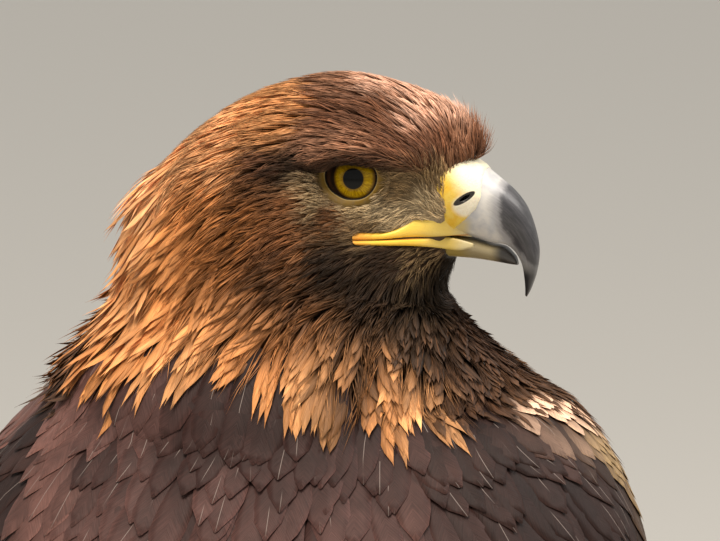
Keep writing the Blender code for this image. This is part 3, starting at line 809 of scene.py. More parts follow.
def eye_paint():
    paint = Paint("eye_paint", 0.3, Coat_Roughness=0.03, Coat_IOR=1.30, Specular_IOR_Level=0.0)
    x, y, out = paint.parts(paint.read("Gaze"))
    dx, dy = x - GAZE[0], y - GAZE[1]
    radius = (dx * dx + dy * dy).root()
    rays = paint.vector(dy.angle(dx) * 9.0, radius * 0.35, 0.0)
    rays = paint.mottle(rays, detail=3.0, roughness=0.7)
    flecks = paint.mottle(paint.vector(x, y, out), 2.6, 3.0)
    beyond = paint.mix((0.016, 0.009, 0.006), (0.05, 0.022, 0.012), paint.ease(radius, 7.6, 9.2))
    amber = paint.layers((0.24, 0.140, 0.001), [
        ((0.44, 0.275, 0.004), rays, 0.35, 0.65),
        ((0.20, 0.105, 0.004), flecks, 0.45, 0.75, 0.0, 0.6),
        ((0.12, 0.06, 0.004), radius, 4.6, 3.2, 0.0, 0.75),
        ((0.10, 0.05, 0.004), radius, 5.7, 6.7),
        # Painted shade of the brow: the iris darker towards its top.
        ((0.060, 0.030, 0.002), dy, 0.5, 6.5, 0.0, 0.85),
        (beyond, radius, IRIS - 0.25, IRIS + 0.1)])
    amber = paint.mix((0.004, 0.004, 0.004), amber, paint.ease(radius, PUPIL - 0.15, PUPIL + 0.2))
    return paint.finish(amber, coat=0.6)


EYE_PAINT = eye_paint()


def eyeball(name, side):
    made, ball = added(bpy.ops.mesh.primitive_uv_sphere_add, segments=64, ring_count=40,
                       radius=EYE_RADIUS)
    made.name = name + "_ball"
    aside = np.hypot(ball[:, 0] - GAZE[0], ball[:, 1] - GAZE[1])
    front = ball[:, 2] > 0
    cornea = 0.9 * np.clip(1 - (aside / 7.4) ** 2, 0, 1) ** 1.4 * front
    places = np.stack([ball[:, 0] + EYE_FORWARD, side * (EYE_OFFSET + ball[:, 2] + cornea),
                       ball[:, 1] + EYE_UP], axis=1)
    place_points(made, from_head(places))
    give(made, "Gaze", np.stack([ball[:, 0], ball[:, 1], np.where(front, ball[:, 2], -9)], axis=1))
    face_outwards(made).data.shade_smooth()
    made.data.materials.append(EYE_PAINT)
    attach(made, "root")
    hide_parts(name)


eyeball("eye_left", 1)
eyeball("eye_right", -1)
print("iris", 2 * IRIS, "mm across, pupil", 2 * PUPIL)

# %% [markdown]
# The bill is one loft above and one below. Horn grows forward from the cere in thin layers, so
# it has fine lines that follow the hook. It is pale and bluish near the cere, and nearly
# black along the front and at the tip.

# %% Bill
# The nostril's two ends, forward and up, and half its width.
NOSTRIL_BACK, NOSTRIL_FRONT = np.array((32.0, -8.0)), np.array((38.2, -4.0))
NOSTRIL_HALF = 1.15


def out_of_nostril(paint, forward, up):
    """0 inside the nostril, 1 outside."""
    middle_f, middle_u = (NOSTRIL_BACK + NOSTRIL_FRONT) / 2
    half_f, half_u = (NOSTRIL_FRONT - NOSTRIL_BACK) / 2
    lean = atan2(half_u, half_f)
    x, y = forward - float(middle_f), up - float(middle_u)
    long = (x * cos(lean) + y * sin(lean)) / float(np.hypot(half_f, half_u))
    wide = (y * cos(lean) - x * sin(lean)) / NOSTRIL_HALF
    return paint.ease((long * long + wide * wide).root(), 1.0, 1.14)


def horn_paint(name, above):
    paint = Paint(name, 0.42, Coat_Roughness=0.3)
    forward, side, up = paint.parts(paint.read("Head"))
    dx, dy = forward - 27.0, up + 33.0
    reach = (dx * dx + dy * dy).root()
    lines = paint.vector(reach * 1.6, dy.angle(dx) * 1.4, side * 0.5)
    lines = paint.mottle(lines, 1.0, 4.0, 0.65)
    clouds = paint.mottle(paint.vector(forward, side, up), 0.22, 3.0)
    bow = up + 9.5
    front = forward - 46.3 - bow * bow * 0.027 + (clouds - 0.5) * 3.0 + (lines - 0.5) * 2.6
    pale = paint.mix((0.46, 0.465, 0.48), (0.62, 0.600, 0.565), paint.ease(clouds, 0.35, 0.65))
    dark = paint.mix((0.022, 0.022, 0.025), (0.055, 0.053, 0.059), paint.ease(lines, 0.32, 0.68))
    horn = paint.layers(pale, [
        ((0.30, 0.295, 0.30), front, -4.6, -1.2), (dark, front, -1.6, 0.8),
        ((0.020, 0.019, 0.020), up, -24.0, -33.0)])
    root = paint.ease(forward - up * 0.25, 41.5, 37.5) * paint.ease(up, -12.0, -15.0)
    horn = paint.mix(horn, (0.62, 0.50, 0.20), root * 0.85)
    horn = paint.mix((0.010, 0.007, 0.004), horn, out_of_nostril(paint, forward, up))
    below = paint.mix((0.38, 0.28, 0.075), (0.33, 0.27, 0.15), paint.ease(forward, 31.0, 37.0))
    below = paint.mix(below, (0.030, 0.027, 0.024), paint.ease(forward, 41.5, 46.0))
    height = lines * 0.22 + clouds * 0.2
    return paint.finish(horn if above else below, height=height, relief=0.35, coat=0.12)


def bill_piece(name, node, shape, stations):
    made = globe(name, stations, 64, shape)
    made.data.materials.append(horn_paint(name + "_paint", node == "bill_upper"))
    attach(made, "root")
    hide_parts(node)
    return made


upper = bill_piece("bill_above", "bill_upper", upper_bill, 72)
bill_piece("bill_below", "bill_lower", lower_bill, 40)
print("the nostril is", 2 * NOSTRIL_HALF, "mm wide")

# %% [markdown]
# The cere is soft yellow skin over the root of the upper bill. It swells out a little, and ends
# in front in a low rounded step: first straight down, then slanting back to the gape. Its mesh
# is the bill's own surface, moved outwards. The nostril is a slanting slot cut by a Boolean.

# %% Cere
# The front edge in profile: up, and forward there.
CERE_EDGE = [(12.0, 39.2), (3.0, 40.0), (-6.0, 40.2), (-9.5, 38.6), (-12.8, 35.4), (-15.6, 32.0),
             (-17.0, 30.6), (-26.0, 29.6)]
CERE_SWELL = 0.55
NOSTRIL_DEEP = 16.0
cere_up, cere_front = np.array(CERE_EDGE)[::-1].T


def cere_end(angle):
    """The station at which the cere ends, at each angle round the bill."""
    tries = np.linspace(0.05, 0.6, 221)
    ends = []
    for a in angle:
        places = upper_bill(tries, np.full(len(tries), a))
        beyond = places[:, 0] > np.interp(places[:, 2], cere_up, cere_front)
        ends.append(tries[np.argmax(beyond)] if beyond.any() else tries[-1])
    return np.array(ends)


def cere_shape(t, angle):
    grid = np.linspace(-pi, pi, 129)
    end = np.interp(angle, grid, cere_end(grid))
    station = 0.06 + (end - 0.06) * np.sin(t * pi / 2)
    near_end = 1 - np.sin(t * pi / 2)
    swell = CERE_SWELL * np.clip(near_end / 0.07, 0, 1) ** 0.5 - 0.25 * (near_end < 0.004)
    places = upper_bill(station, angle)
    grown = upper_bill(station, angle, 1.0) - places
    return places + grown * (swell + 0.25 * np.clip(near_end * 2, 0, 1))[:, None]


cere = globe("cere", 36, 80, cere_shape)
slot, ball = added(bpy.ops.mesh.primitive_uv_sphere_add, segments=24, ring_count=16, radius=1.0)
along = (NOSTRIL_FRONT - NOSTRIL_BACK) / 2
across = np.array((-along[1], along[0])) / np.hypot(*along)
slot_f, slot_u = (m + (ball[:, 0] * a + ball[:, 1] * b * NOSTRIL_HALF)
                  for m, a, b in zip((NOSTRIL_BACK + NOSTRIL_FRONT) / 2, along, across))
place_points(slot, from_head(np.stack([slot_f, ball[:, 2] * NOSTRIL_DEEP, slot_u], axis=1)))
face_outwards(slot)
for piece in (cere, upper):
    cut = piece.modifiers.new("nostril", "BOOLEAN")
    cut.operation, cut.object, cut.solver = "DIFFERENCE", slot, "EXACT"
    apply_all(piece)
    piece.data.attributes.remove(piece.data.attributes["Head"])
    give(piece, "Head", to_head(points_of(piece.data)))
bpy.data.objects.remove(slot)


def cere_paint():
    paint = Paint("cere_paint", 0.42, Coat_Roughness=0.35, Subsurface_Weight=0.08)
    paint.shader.inputs["Subsurface Radius"].default_value = (0.004, 0.002, 0.001)
    forward, side, up = paint.parts(paint.read("Head"))
    fine = paint.mottle(paint.vector(forward, side, up), 1.7, 4.0, 0.6)
    broad = paint.mottle(paint.vector(forward, side, up), 0.35, 2.0)
    yellow = paint.mix((0.78, 0.47, 0.025), (0.80, 0.56, 0.08), paint.ease(broad, 0.35, 0.65))
    out_x, out_y = forward - 35.8, up + 8.6
    around = (out_x * out_x * 0.7 + out_y * out_y).root()
    # The cream towards the front and top is partly the cere's paler front and partly a painted
    # highlight from the light above.
    colour = paint.layers(yellow, [
        ((0.90, 0.84, 0.62), up * 0.55 + forward, 28.5, 36.0),
        ((0.80, 0.74, 0.58), around, 4.6, 2.6), ((0.55, 0.36, 0.05), fine, 0.55, 0.8, 0.0, 0.4)])
    colour = paint.mix((0.010, 0.007, 0.004), colour, out_of_nostril(paint, forward, up))
    return paint.finish(colour, height=fine * 0.5, relief=0.5, coat=0.15)


cere.data.materials.append(cere_paint())
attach(cere, "root")
print("cere triangles:", sum(len(p.vertices) - 2 for p in cere.data.polygons))

# %% [markdown]
# The lips run back from the bill to the rounded corner of the gape, one above the line of the
# mouth and one below. Each is a loft along the jaw that stands a little proud of the face.

# %% Lips
# Forward, then the lip's two edges: the mouth line and its far edge, both up.
UPPER_LIP = [(0.9, -18.6, -17.6), (1.4, -18.8, -16.9), (3.2, -18.95, -16.6), (9.0, -18.9, -16.8),
             (14.0, -18.6, -15.9), (17.4, -18.4, -13.9), (20.0, -18.5, -12.8),
             (25.0, -18.7, -12.6), (29.0, -18.8, -12.2), (32.0, -19.0, -13.4),
             (36.0, -19.8, -17.4)]
LOWER_LIP = [(1.0, -18.7, -19.4), (1.6, -18.9, -20.3), (3.4, -19.0, -20.8), (10.0, -19.0, -21.0),
             (17.0, -18.8, -21.2), (22.6, -18.9, -21.8), (26.0, -19.1, -22.6),
             (29.0, -19.4, -23.4), (33.0, -20.0, -23.6), (37.5, -21.2, -22.4)]
bill_tree = tree_of(upper.data)


def lip(name, rows, side, thick):
    lip_rows = np.array(rows)
    outs = np.array([face_side(f, (a + b) / 2, sunk_skin, bill_tree) for f, a, b in rows])
    outs[1:-1] = (outs[:-2] + 2 * outs[1:-1] + outs[2:]) / 4
    outs[-2:] -= (0.5, 1.7)

    def shape(t, angle):
        forward, inner, far = smooth_rows(lip_rows, t).T
        out = smooth_rows(outs[:, None], t)[:, 0]
        low, high = np.cos(angle), np.sin(angle)
        up = (inner + far) / 2 - (inner - far) / 2 * np.sign(low) * np.abs(low) ** 0.8
        body = np.minimum(1.0, np.abs(inner - far) / 2 + 0.3)
        body = np.clip(body, 0.4, 1) * (1 - 0.7 * smooth_step(forward, 22, 33))
        roll = np.sign(high) * np.abs(high) ** 0.8 * thick * body
        return np.stack([forward, side * (out - 0.15 + roll), up], axis=1)

    return globe(name, 48, 24, shape)


def lip_paint():
    paint = Paint("lip_paint", 0.40, Coat_Roughness=0.3)
    forward, side, up = paint.parts(paint.read("Head"))
    fine = paint.mottle(paint.vector(forward * 0.5, side, up), 2.2, 3.0)
    colour = paint.layers((1.00, 0.60, 0.05), [
        ((1.00, 0.70, 0.10), up, -18.6, -14.5), ((0.72, 0.52, 0.10), forward, 18.0, 27.0),
        ((0.62, 0.52, 0.27), forward, 29.0, 35.0), ((1.00, 0.46, 0.05), forward, 9.0, 2.5)])
    seam = (up + 18.9).size()
    colour = paint.mix((0.50, 0.22, 0.030), colour, paint.ease(seam, 0.05, 0.4))
    colour = paint.layers(colour, [((0.50, 0.27, 0.03), fine, 0.55, 0.8, 0.0, 0.25)])
    return paint.finish(colour, height=fine * 0.3, relief=0.4, coat=0.25)


LIP_PAINT = lip_paint()
for hand, side in (("right", -1), ("left", 1)):
    for name, rows, thick in (("lip_above", UPPER_LIP, 1.8), ("lip_below", LOWER_LIP, 1.9)):
        made = lip(f"{name}_{hand}", rows, side, thick)
        made.data.materials.append(LIP_PAINT)
        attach(made, "root")
print("lips end", UPPER_LIP[0][0], "mm in front of the eye's middle")

# %% [markdown]
# Plumage has a lie. It is told to the script as a set of named guides: at a place on the body
# the feathers point a certain way and have a certain length, width and colour. On the side
# that faces the camera a guide is given by a pixel of the picture and a heading in it, and a ray
# finds the skin behind that pixel. The other side takes mirrored guides, and hidden parts
# have guides placed on the body itself. Between guides everything is blended by nearness.

# %% Guides of the plumage
# Name, pixel across and down, heading in degrees (0 to the right, 90 up), length and width in
# millimetres, colour at the root and at the tip.
HEAD_GUIDES = [
    ("cere side", 449, 152, 98, 6.5, 1.0, "crown_dark", "crown"),
    ("cere top", 466, 152, 122, 6.5, 1.0, "crown", "crown_light"),
    ("forehead edge", 484, 150, 88, 7.5, 1.0, "crown_dark", "crown"),
    ("forehead front", 484, 134, 106, 8.5, 1.2, "crown_dark", "crown"),
    # The pale pink tips of the forehead and front crown are a painted highlight.
    ("forehead", 466, 122, 112, 8.5, 1.2, "crown", "peach"),
    ("crown front", 455, 108, 138, 9.0, 1.3, "crown", "peach"),
    ("crown front low", 428, 122, 136, 9.0, 1.3, "crown", "peach"),
    ("brow front", 432, 160, 118, 7.0, 1.0, "crown", "crown_dark"),
    ("brow middle front", 405, 150, 150, 8.0, 1.2, "crown_dark", "crown"),
    ("crown side front", 395, 118, 148, 10.0, 1.4, "crown_dark", "crown"),
    ("crown top front", 400, 86, 160, 10.0, 1.4, "crown", "peach"),
    ("crown top", 350, 80, 176, 11.0, 1.6, "crown", "crown_light"),
    ("crown side", 350, 115, 166, 11.0, 1.6, "crown_dark", "crown"),
    ("brow ridge", 365, 145, 172, 8.0, 1.2, "crown", "crown_light"),
    # The soot tips along the brow's lower edge are painted shadow of its ledge.
    ("brow edge", 365, 160, 183, 5.0, 0.9, "crown_dark", "soot"),
    ("brow back", 318, 150, 186, 9.0, 1.3, "crown_dark", "crown_light"),
    # Soot here is painted shadow under the brow's rear.
    ("brow back edge", 308, 163, 194, 6.0, 1.0, "soot", "soot"),
    ("crown back", 300, 88, 188, 13.0, 1.8, "gold", "gold_pale"),
    ("crown back side", 285, 122, 193, 12.0, 1.7, "gold_deep", "gold_pale"),
    ("behind brow", 272, 160, 202, 10.0, 1.5, "dusk", "crown"),
    # A dark streak of the plumage behind the eye, deepened with painted shade under the brow's
    # rear.
    ("behind eye streak", 292, 172, 196, 5.5, 0.9, "soot", "dusk"),
    ("behind brow low", 268, 178, 204, 8.0, 1.2, "dusk", "cheek"),
    ("nape top", 235, 112, 207, 15.0, 2.0, "gold", "gold_light"),
    ("nape side", 232, 148, 209, 14.0, 2.0, "gold", "gold_light"),
    ("nape side low", 215, 185, 220, 14.0, 2.0, "gold_deep", "gold"),
    ("hindneck top", 180, 158, 224, 20.0, 3.0, "gold", "gold_light"),
    ("cheek back", 255, 212, 207, 9.0, 1.5, "cheek", "gold_deep"),
    ("cheek top", 298, 200, 190, 6.5, 1.1, "cheek", "russet"),
    ("cheek", 290, 230, 202, 8.0, 1.2, "cheek", "russet"),
    ("cheek low", 285, 262, 218, 11.0, 1.6, "cheek", "dusk"),
    ("ear", 240, 240, 222, 13.0, 1.9, "cheek", "gold_deep"),
    ("below eye", 335, 214, 186, 5.0, 0.8, "cheek", "dusk"),
    ("malar", 345, 262, 206, 8.0, 1.2, "dusk", "soot"),
    ("malar front", 390, 254, 204, 6.5, 1.0, "dusk", "soot"),
    ("gape front", 430, 251, 206, 4.0, 0.7, "dusk", "bristle_dim"),
    ("chin", 452, 266, 225, 6.0, 0.9, "soot", "soot"),
    ("throat front", 435, 282, 240, 9.0, 1.3, "soot", "soot"),
    ("throat side", 385, 296, 232, 11.0, 1.6, "soot", "dusk"),
    ("throat back", 320, 300, 226, 13.0, 1.9, "dusk", "cheek"),
    # Lore top and lore inner take the darker bristle colour as painted shade under the brow.
    ("lore top", 434, 184, 112, 4.5, 0.5, "bristle_dim", "bristle_dim"),
    ("lore middle", 428, 203, 135, 4.2, 0.5, "bristle", "bristle"),
    ("lore inner", 402, 192, 170, 3.8, 0.5, "bristle_dim", "bristle_dim"),
    ("lore low", 402, 213, 214, 4.2, 0.5, "bristle", "bristle"),
    ("lore back", 378, 210, 206, 4.0, 0.5, "bristle", "bristle"),
    ("gape top", 372, 224, 200, 4.0, 0.6, "bristle_dim", "dusk"),
    ("lid low", 350, 206, 192, 2.4, 0.5, "bristle_dim", "bristle"),
    ("behind eye", 311, 182, 184, 3.4, 0.5, "bristle_dim", "bristle"),
    ("behind eye low", 318, 198, 188, 3.4, 0.5, "bristle_dim", "bristle"),
]
NECK_GUIDES = [
    ("hindneck", 158, 198, 243, 27.0, 4.6, "gold", "gold_pale"),
    ("hindneck side", 195, 220, 232, 24.0, 4.0, "gold_deep", "gold"),
    ("hindneck low", 134, 250, 253, 32.0, 5.6, "gold", "gold_pale"),
    ("neck side", 185, 270, 240, 30.0, 5.4, "gold_deep", "gold"),
    ("neck side front", 235, 285, 232, 24.0, 4.2, "russet", "gold"),
    ("nape fall", 122, 300, 250, 34.0, 6.2, "gold_deep", "gold"),
    ("ruff left", 150, 290, 242, 33.0, 5.4, "gold", "gold_pale"),
    ("ruff middle left", 220, 302, 240, 30.0, 5.2, "gold_deep", "gold_pale"),
    ("ruff middle", 285, 320, 246, 29.0, 5.0, "cheek", "gold"),
    ("ruff middle right", 335, 342, 256, 30.0, 5.0, "cheek", "gold_pale"),
    # Feathers dyed soot black here are painted shade in a parting of the ruff.
    ("ruff gap", 356, 352, 262, 28.0, 5.0, "soot", "soot"),
    ("ruff low", 382, 358, 264, 29.0, 5.0, "dusk", "gold"),
    ("ruff right", 418, 362, 268, 32.0, 5.0, "dusk", "gold_pale"),
    ("ruff right top", 425, 318, 266, 20.0, 3.6, "soot", "dusk"),
    ("throat fall", 452, 296, 284, 13.0, 2.4, "soot", "dusk"),
]
BODY_GUIDES = [
    ("breast side top", 466, 302, 302, 15.0, 3.2, "dusk", "breast"),
    ("breast side", 485, 335, 308, 20.0, 4.0, "breast", "breast"),
    ("breast side low", 468, 375, 292, 22.0, 4.8, "breast", "breast"),
    ("breast shoulder", 515, 366, 318, 20.0, 4.6, "breast", "breast_tip"),
    ("breast edge", 452, 348, 278, 24.0, 4.2, "dusk", "breast"),
    ("breast edge low", 462, 400, 290, 20.0, 4.6, "breast", "breast"),
    ("wrist", 546, 390, 322, 12.0, 8.2, "breast_tip", "buff"),
    ("wrist outer", 590, 424, 308, 13.0, 8.2, "breast", "bristle_dim"),
    ("below wrist", 548, 420, 318, 24.0, 12.0, "wing", "wing_tip"),
    ("below wrist outer", 590, 448, 312, 24.0, 12.0, "wing", "wing_tip"),
    # The pale tips of the mantle on the side towards the key lamp are a painted highlight.
    ("mantle far left", 40, 375, 236, 36.0, 14.4, "mantle_tip", "mantle_light"),
    ("mantle top left", 95, 350, 238, 36.0, 14.4, "mantle_tip", "mantle_light"),
    ("mantle top middle", 160, 360, 244, 36.0, 14.8, "mantle", "mantle_tip"),
    ("mantle top right", 225, 372, 250, 36.0, 15.0, "wing", "mantle"),
    ("mantle under ruff", 290, 385, 256, 36.0, 15.0, "wing", "mantle"),
    ("mantle under ruff right", 360, 410, 270, 36.0, 15.0, "wing", "mantle"),
    ("mantle left", 95, 410, 238, 38.0, 15.8, "mantle", "mantle_light"),
    ("mantle low left", 70, 480, 240, 40.0, 16.7, "mantle", "mantle_light"),
    ("mantle left middle", 160, 430, 245, 38.0, 16.2, "mantle", "mantle_tip"),
    ("mantle left low", 170, 510, 248, 42.0, 17.1, "mantle", "mantle_tip"),
    ("mantle middle", 250, 420, 256, 38.0, 16.2, "mantle", "mantle_tip"),
    ("mantle middle low", 280, 500, 262, 42.0, 17.1, "mantle", "mantle_tip"),
    ("mantle right", 345, 450, 270, 40.0, 16.2, "mantle", "mantle_tip"),
    ("mantle seam", 390, 490, 276, 40.0, 16.7, "mantle", "mantle_tip"),
    ("scapular top", 475, 412, 310, 28.0, 14.0, "wing", "wing_tip"),
    ("scapular root", 435, 430, 300, 32.0, 14.4, "wing", "wing_tip"),
    ("scapular", 470, 480, 308, 40.0, 16.2, "wing", "wing_tip"),
    ("wing ridge", 500, 425, 326, 30.0, 15.0, "wing", "wing_tip"),
    ("wing middle", 545, 460, 322, 34.0, 14.8, "wing", "wing_tip"),
    ("wing edge", 600, 465, 308, 30.0, 15.0, "wing", "wing_tip"),
    ("wing low", 560, 515, 312, 40.0, 16.2, "wing", "wing_tip"),
]
print("guides in view:", len(HEAD_GUIDES) + len(NECK_GUIDES) + len(BODY_GUIDES))

# %% [markdown]
# The guides of the hidden parts are given as a place in the scene, in millimetres, and a
# direction there. Those off the middle stand for both sides, unless their name says left.

# %% Guides of the hidden parts
HIDDEN_GUIDES = [
    ("left nape", (50, -145, 562), (0.25, 0.3, -0.9), 30, 5.2, "gold_deep", "gold"),
    ("left neck", (60, -185, 548), (0.25, 0.0, -0.95), 28, 5.2, "cheek", "gold_deep"),
    ("left throat", (50, -222, 530), (0.2, -0.1, -0.95), 24, 4.6, "dusk", "russet"),
    ("left shoulder", (88, -170, 505), (0.3, 0.2, -0.9), 24, 6.0, "mantle", "breast_tip"),
    ("breast", (0, -262, 470), (0, -0.1, -1), 32, 15, "breast", "breast_tip"),
    ("breast flank", (75, -240, 450), (0.15, 0.1, -1), 32, 15, "breast", "breast_tip"),
    ("low breast", (0, -258, 400), (0, 0.2, -1), 36, 16, "breast", "breast_tip"),
    ("belly", (0, -205, 320), (0, 0.55, -0.8), 38, 16, "breast", "breast_tip"),
    ("flank", (70, -190, 350), (0, 0.35, -0.95), 38, 16, "breast", "breast_tip"),
    ("vent", (0, -110, 245), (0, 0.75, -0.6), 34, 12, "leg", "leg_pale"),
    ("undertail", (0, 10, 190), (0, 0.85, -0.5), 40, 12, "leg", "leg_pale"),
    ("wing arm", (118, -190, 470), (0.05, 0.35, -0.95), 30, 15, "wing", "wing_tip"),
    ("wing arm low", (124, -160, 400), (0, 0.45, -0.9), 36, 17, "wing", "wing_tip"),
    ("wing back", (60, -90, 430), (0.12, 0.5, -0.85), 42, 18, "mantle", "mantle_tip"),
    ("wing front edge", (95, -245, 470), (0.1, 0.2, -1), 18, 9, "breast_tip", "breast"),
    ("wing side", (112, -120, 340), (0, 0.55, -0.83), 44, 18, "wing", "wing_tip"),
    ("wing side back", (60, -50, 340), (0.02, 0.62, -0.78), 46, 20, "wing", "wing_tip"),
    ("wing low side", (85, -50, 265), (0, 0.68, -0.73), 48, 18, "flight", "wing_tip"),
    ("back", (0, -85, 450), (0, 0.42, -0.9), 42, 18, "mantle", "mantle_tip"),
    ("low back", (0, -35, 380), (0, 0.55, -0.83), 44, 18, "mantle", "mantle_tip"),
    ("rump", (0, 35, 260), (0, 0.78, -0.62), 42, 17, "mantle", "mantle_tip"),
    ("tail", (0, 150, 130), (0, 0.839, -0.545), 60, 26, "flight", "flight_bar"),
    ("wing tip", (30, 130, 170), (0, 0.80, -0.6), 60, 20, "flight", "flight"),
    ("thigh top", (60, -200, 300), (0, 0.15, -1), 30, 11, "breast", "breast_tip"),
    ("thigh", (62, -190, 230), (0, 0.1, -1), 28, 10, "breast", "leg"),
    ("thigh outside", (108, -140, 240), (-0.1, 0.15, -1), 28, 10, "breast", "leg"),
    ("thigh low", (60, -160, 185), (0, 0.15, -1), 24, 8.4, "breast_tip", "leg"),
    ("shin", (60, -140, 150), (0, 0.15, -1), 22, 7, "leg", "leg_pale"),
    ("tarsus", (59, -118, 80), (0, -0.05, -1), 11, 3.0, "leg_pale", "leg"),
    ("tarsus foot", (59, -126, 40), (0, -0.4, -0.9), 7, 2.0, "leg_pale", "leg_pale"),
    ("toes", (59, -160, 15), (0, -0.9, -0.3), 5, 1.6, "toe", "toe"),
    ("toes back", (59, -95, 15), (0, 0.9, -0.3), 5, 1.6, "toe", "toe"),
]


def behind_pixel(x, y):
    """The place on the solids behind a pixel, or the nearest to its line of sight."""
    start, ahead = Vector(in_view(x, y, 1.0)), Vector(-BACK)
    place = OUTSIDE.ray_cast(start, ahead)[0]
    if place is None:
        tries = [OUTSIDE.find_nearest(start + ahead * d) for d in np.linspace(0.8, 1.25, 200)]
        place = min(tries, key=lambda found: found[3])[0]
    return np.array(place)


ONE_SIDED = ("wrist", "wrist outer", "below wrist", "below wrist outer", "ruff gap",
             "ruff right top", "throat fall", "breast side top")


def picture_guides(rows, middle, aside):
    """Turns rows of the picture into guides on the skin, and mirrors them to the far side.

    The mirror stands at the middle and faces aside.
    """
    found = []
    for name, x, y, heading, length, width, root, tip in rows:
        place = behind_pixel(x, y)
        normal = FACE_NORMAL[on_skin(place[None])[3][0]]
        way = RIGHT * cos(radians(heading)) + ABOVE * sin(radians(heading))
        way = way - BACK * (way @ normal) / (BACK @ normal)
        found.append((name, place, normal, way, length, width, root, tip, 1.0))
        if name in ONE_SIDED:
            continue
        far = [vector - 2 * ((vector - start) @ aside) * aside
               for vector, start in ((place, middle), (normal, 0.0), (way, 0.0))]
        found.append((name + " far", *far, length, width, root, tip, 0.25))
    return found


def hidden_guides(rows):
    found = []
    for name, place, way, length, width, root, tip in rows:
        for side in (1,) if not place[0] or name.startswith("left") else (1, -1):
            point = np.array(place) * MM * (side, 1, 1)
            point, normal, depth, face = on_skin(point[None])
            lie = np.array(way, float) * (side, 1, 1)
            found.append((name, point[0], normal[0], lie, length, width, root, tip, 0.5))
    return found


GUIDES = (picture_guides(HEAD_GUIDES + NECK_GUIDES, HEAD_CENTRE, HEAD_SIDE)
          + picture_guides(BODY_GUIDES, np.zeros(3), np.array((1.0, 0.0, 0.0)))
          + hidden_guides(HIDDEN_GUIDES))
GUIDE_PLACE = np.array([g[1] for g in GUIDES])
GUIDE_NORMAL = np.array([g[2] for g in GUIDES])
GUIDE_WAY = unit(np.array([g[3] for g in GUIDES]))
GUIDE_SIZE = np.array([g[4:6] for g in GUIDES], float)
GUIDE_ROOT = np.array([COLOURS[g[6]] for g in GUIDES])
GUIDE_TIP = np.array([COLOURS[g[7]] for g in GUIDES])
GUIDE_TRUST = np.array([g[8] for g in GUIDES])
print("guides in all:", len(GUIDES))


def guided(points, normals, sharpness=3.0, batch=4000, among=None):
    """The share of each guide at each place, by nearness and by how alike the skin faces.

    Among is the least and the most width of the guides that count in full.
    """
    trust = GUIDE_TRUST
    if among:
        fits = (GUIDE_SIZE[:, 1] >= among[0]) & (GUIDE_SIZE[:, 1] <= among[1])
        trust = GUIDE_TRUST * np.where(fits, 1.0, 1e-4)
    shares = []
    for k in range(0, len(points), batch):
        p, n = points[k:k + batch], normals[k:k + batch]
        squares = ((p**2).sum(1)[:, None] + (GUIDE_PLACE**2).sum(1) - 2 * p @ GUIDE_PLACE.T)
        facing = 0.02 + np.maximum(n @ GUIDE_NORMAL.T, 0.0) ** 2
        near = trust * facing / (squares / (4 * MM) ** 2 + 0.3) ** sharpness
        shares.append(near / near.sum(1)[:, None])
    return np.concatenate(shares)


def lie(points, normals):
    """The direction of the plumage at each place, along the skin."""
    way = guided(points, normals, 2.0) @ GUIDE_WAY
    return unit(way - normals * (way * normals).sum(1)[:, None])


# %% [markdown]
# Roots are spread so that no two are closer than a chosen spacing, which gives the even yet
# unruly look of real feather tracts. Many random places are drawn, by area and density. They
# are taken in turn, and each one taken rules out its neighbours.

# %% Spread the roots
def search_tree(points):
    tree = KDTree(len(points))
    for k, point in enumerate(points.tolist()):
        tree.insert(point, k)
    tree.balance()
    return tree


def thin_out(points, reach, order):
    """Takes points in turn. Each one taken rules out the others within its reach."""
    tree, free, kept = search_tree(points), np.ones(len(points), bool), []
    for k in order:
        if free[k]:
            kept.append(k)
            for _, other, _ in tree.find_range(points[k], reach[k]):
                free[other] = False
    return np.array(kept)


def spread(spacing, seed):
    """Roots on the skin. Spacing is in millimetres for each skin face, 0 where nothing grows."""
    draw = np.random.default_rng(seed)
    grows = spacing > 0
    wanted = np.where(grows, AREA / np.maximum(spacing * MM, 1e-5) ** 2, 0.0) * 3.2
    total = int(wanted.sum())
    faces = draw.choice(len(AREA), size=total, p=wanted / wanted.sum())
    a, b = draw.random(total), draw.random(total)
    a, b = np.where(a + b > 1, 1 - a, a), np.where(a + b > 1, 1 - b, b)
    weights = np.stack([1 - a - b, a, b], axis=1)
    points = (TRI[faces] * weights[:, :, None]).sum(1)
    kept = thin_out(points, spacing[faces] * MM, range(total))
    uv = (SKIN_UV[faces[kept]] * weights[kept][:, :, None]).sum(1)
    return {"place": points[kept], "face": faces[kept], "uv": uv}


def unruly(points, period, seed):
    """A smooth random number from about -1 to 1 at each place."""
    shift = Vector((seed * 7.1, seed * 3.3, seed * 5.7))
    return np.array([noise.noise(Vector(p) / (period * MM) + shift) for p in points.tolist()]) * 1.6


# %% [markdown]
# A feather's path is walked along the skin in short steps. Each step follows the lie of the
# plumage and is then set back onto the skin, so a long feather bends round the neck as a real
# one does. Height grows from the root to the tip, so every tip lies over the roots beyond
# it, as tiles do on a roof.

# %% Walk the paths
def follow(start, aim, steps):
    """The places, normals and coat depths at each step of paths along the skin."""
    found = [start]
    for _ in range(steps):
        place, normal, _ = found[-1]
        found.append(on_skin(aim(place, normal))[:3])
    return [list(column) for column in zip(*found)]


def walk(roots, length, turn, steps):
    """Paths by the lie of the plumage, from root to tip."""
    def aim(place, normal):
        way = lie(place, normal)
        aside = np.cross(normal, way)
        way = way * np.cos(turn)[:, None] + aside * np.sin(turn)[:, None]
        return place + way * (length / steps)[:, None]

    face = roots["face"]
    start = (roots["place"], FACE_NORMAL[face], FACE_DEPTH[face])
    return [np.stack(column, 1) for column in follow(start, aim, steps)]


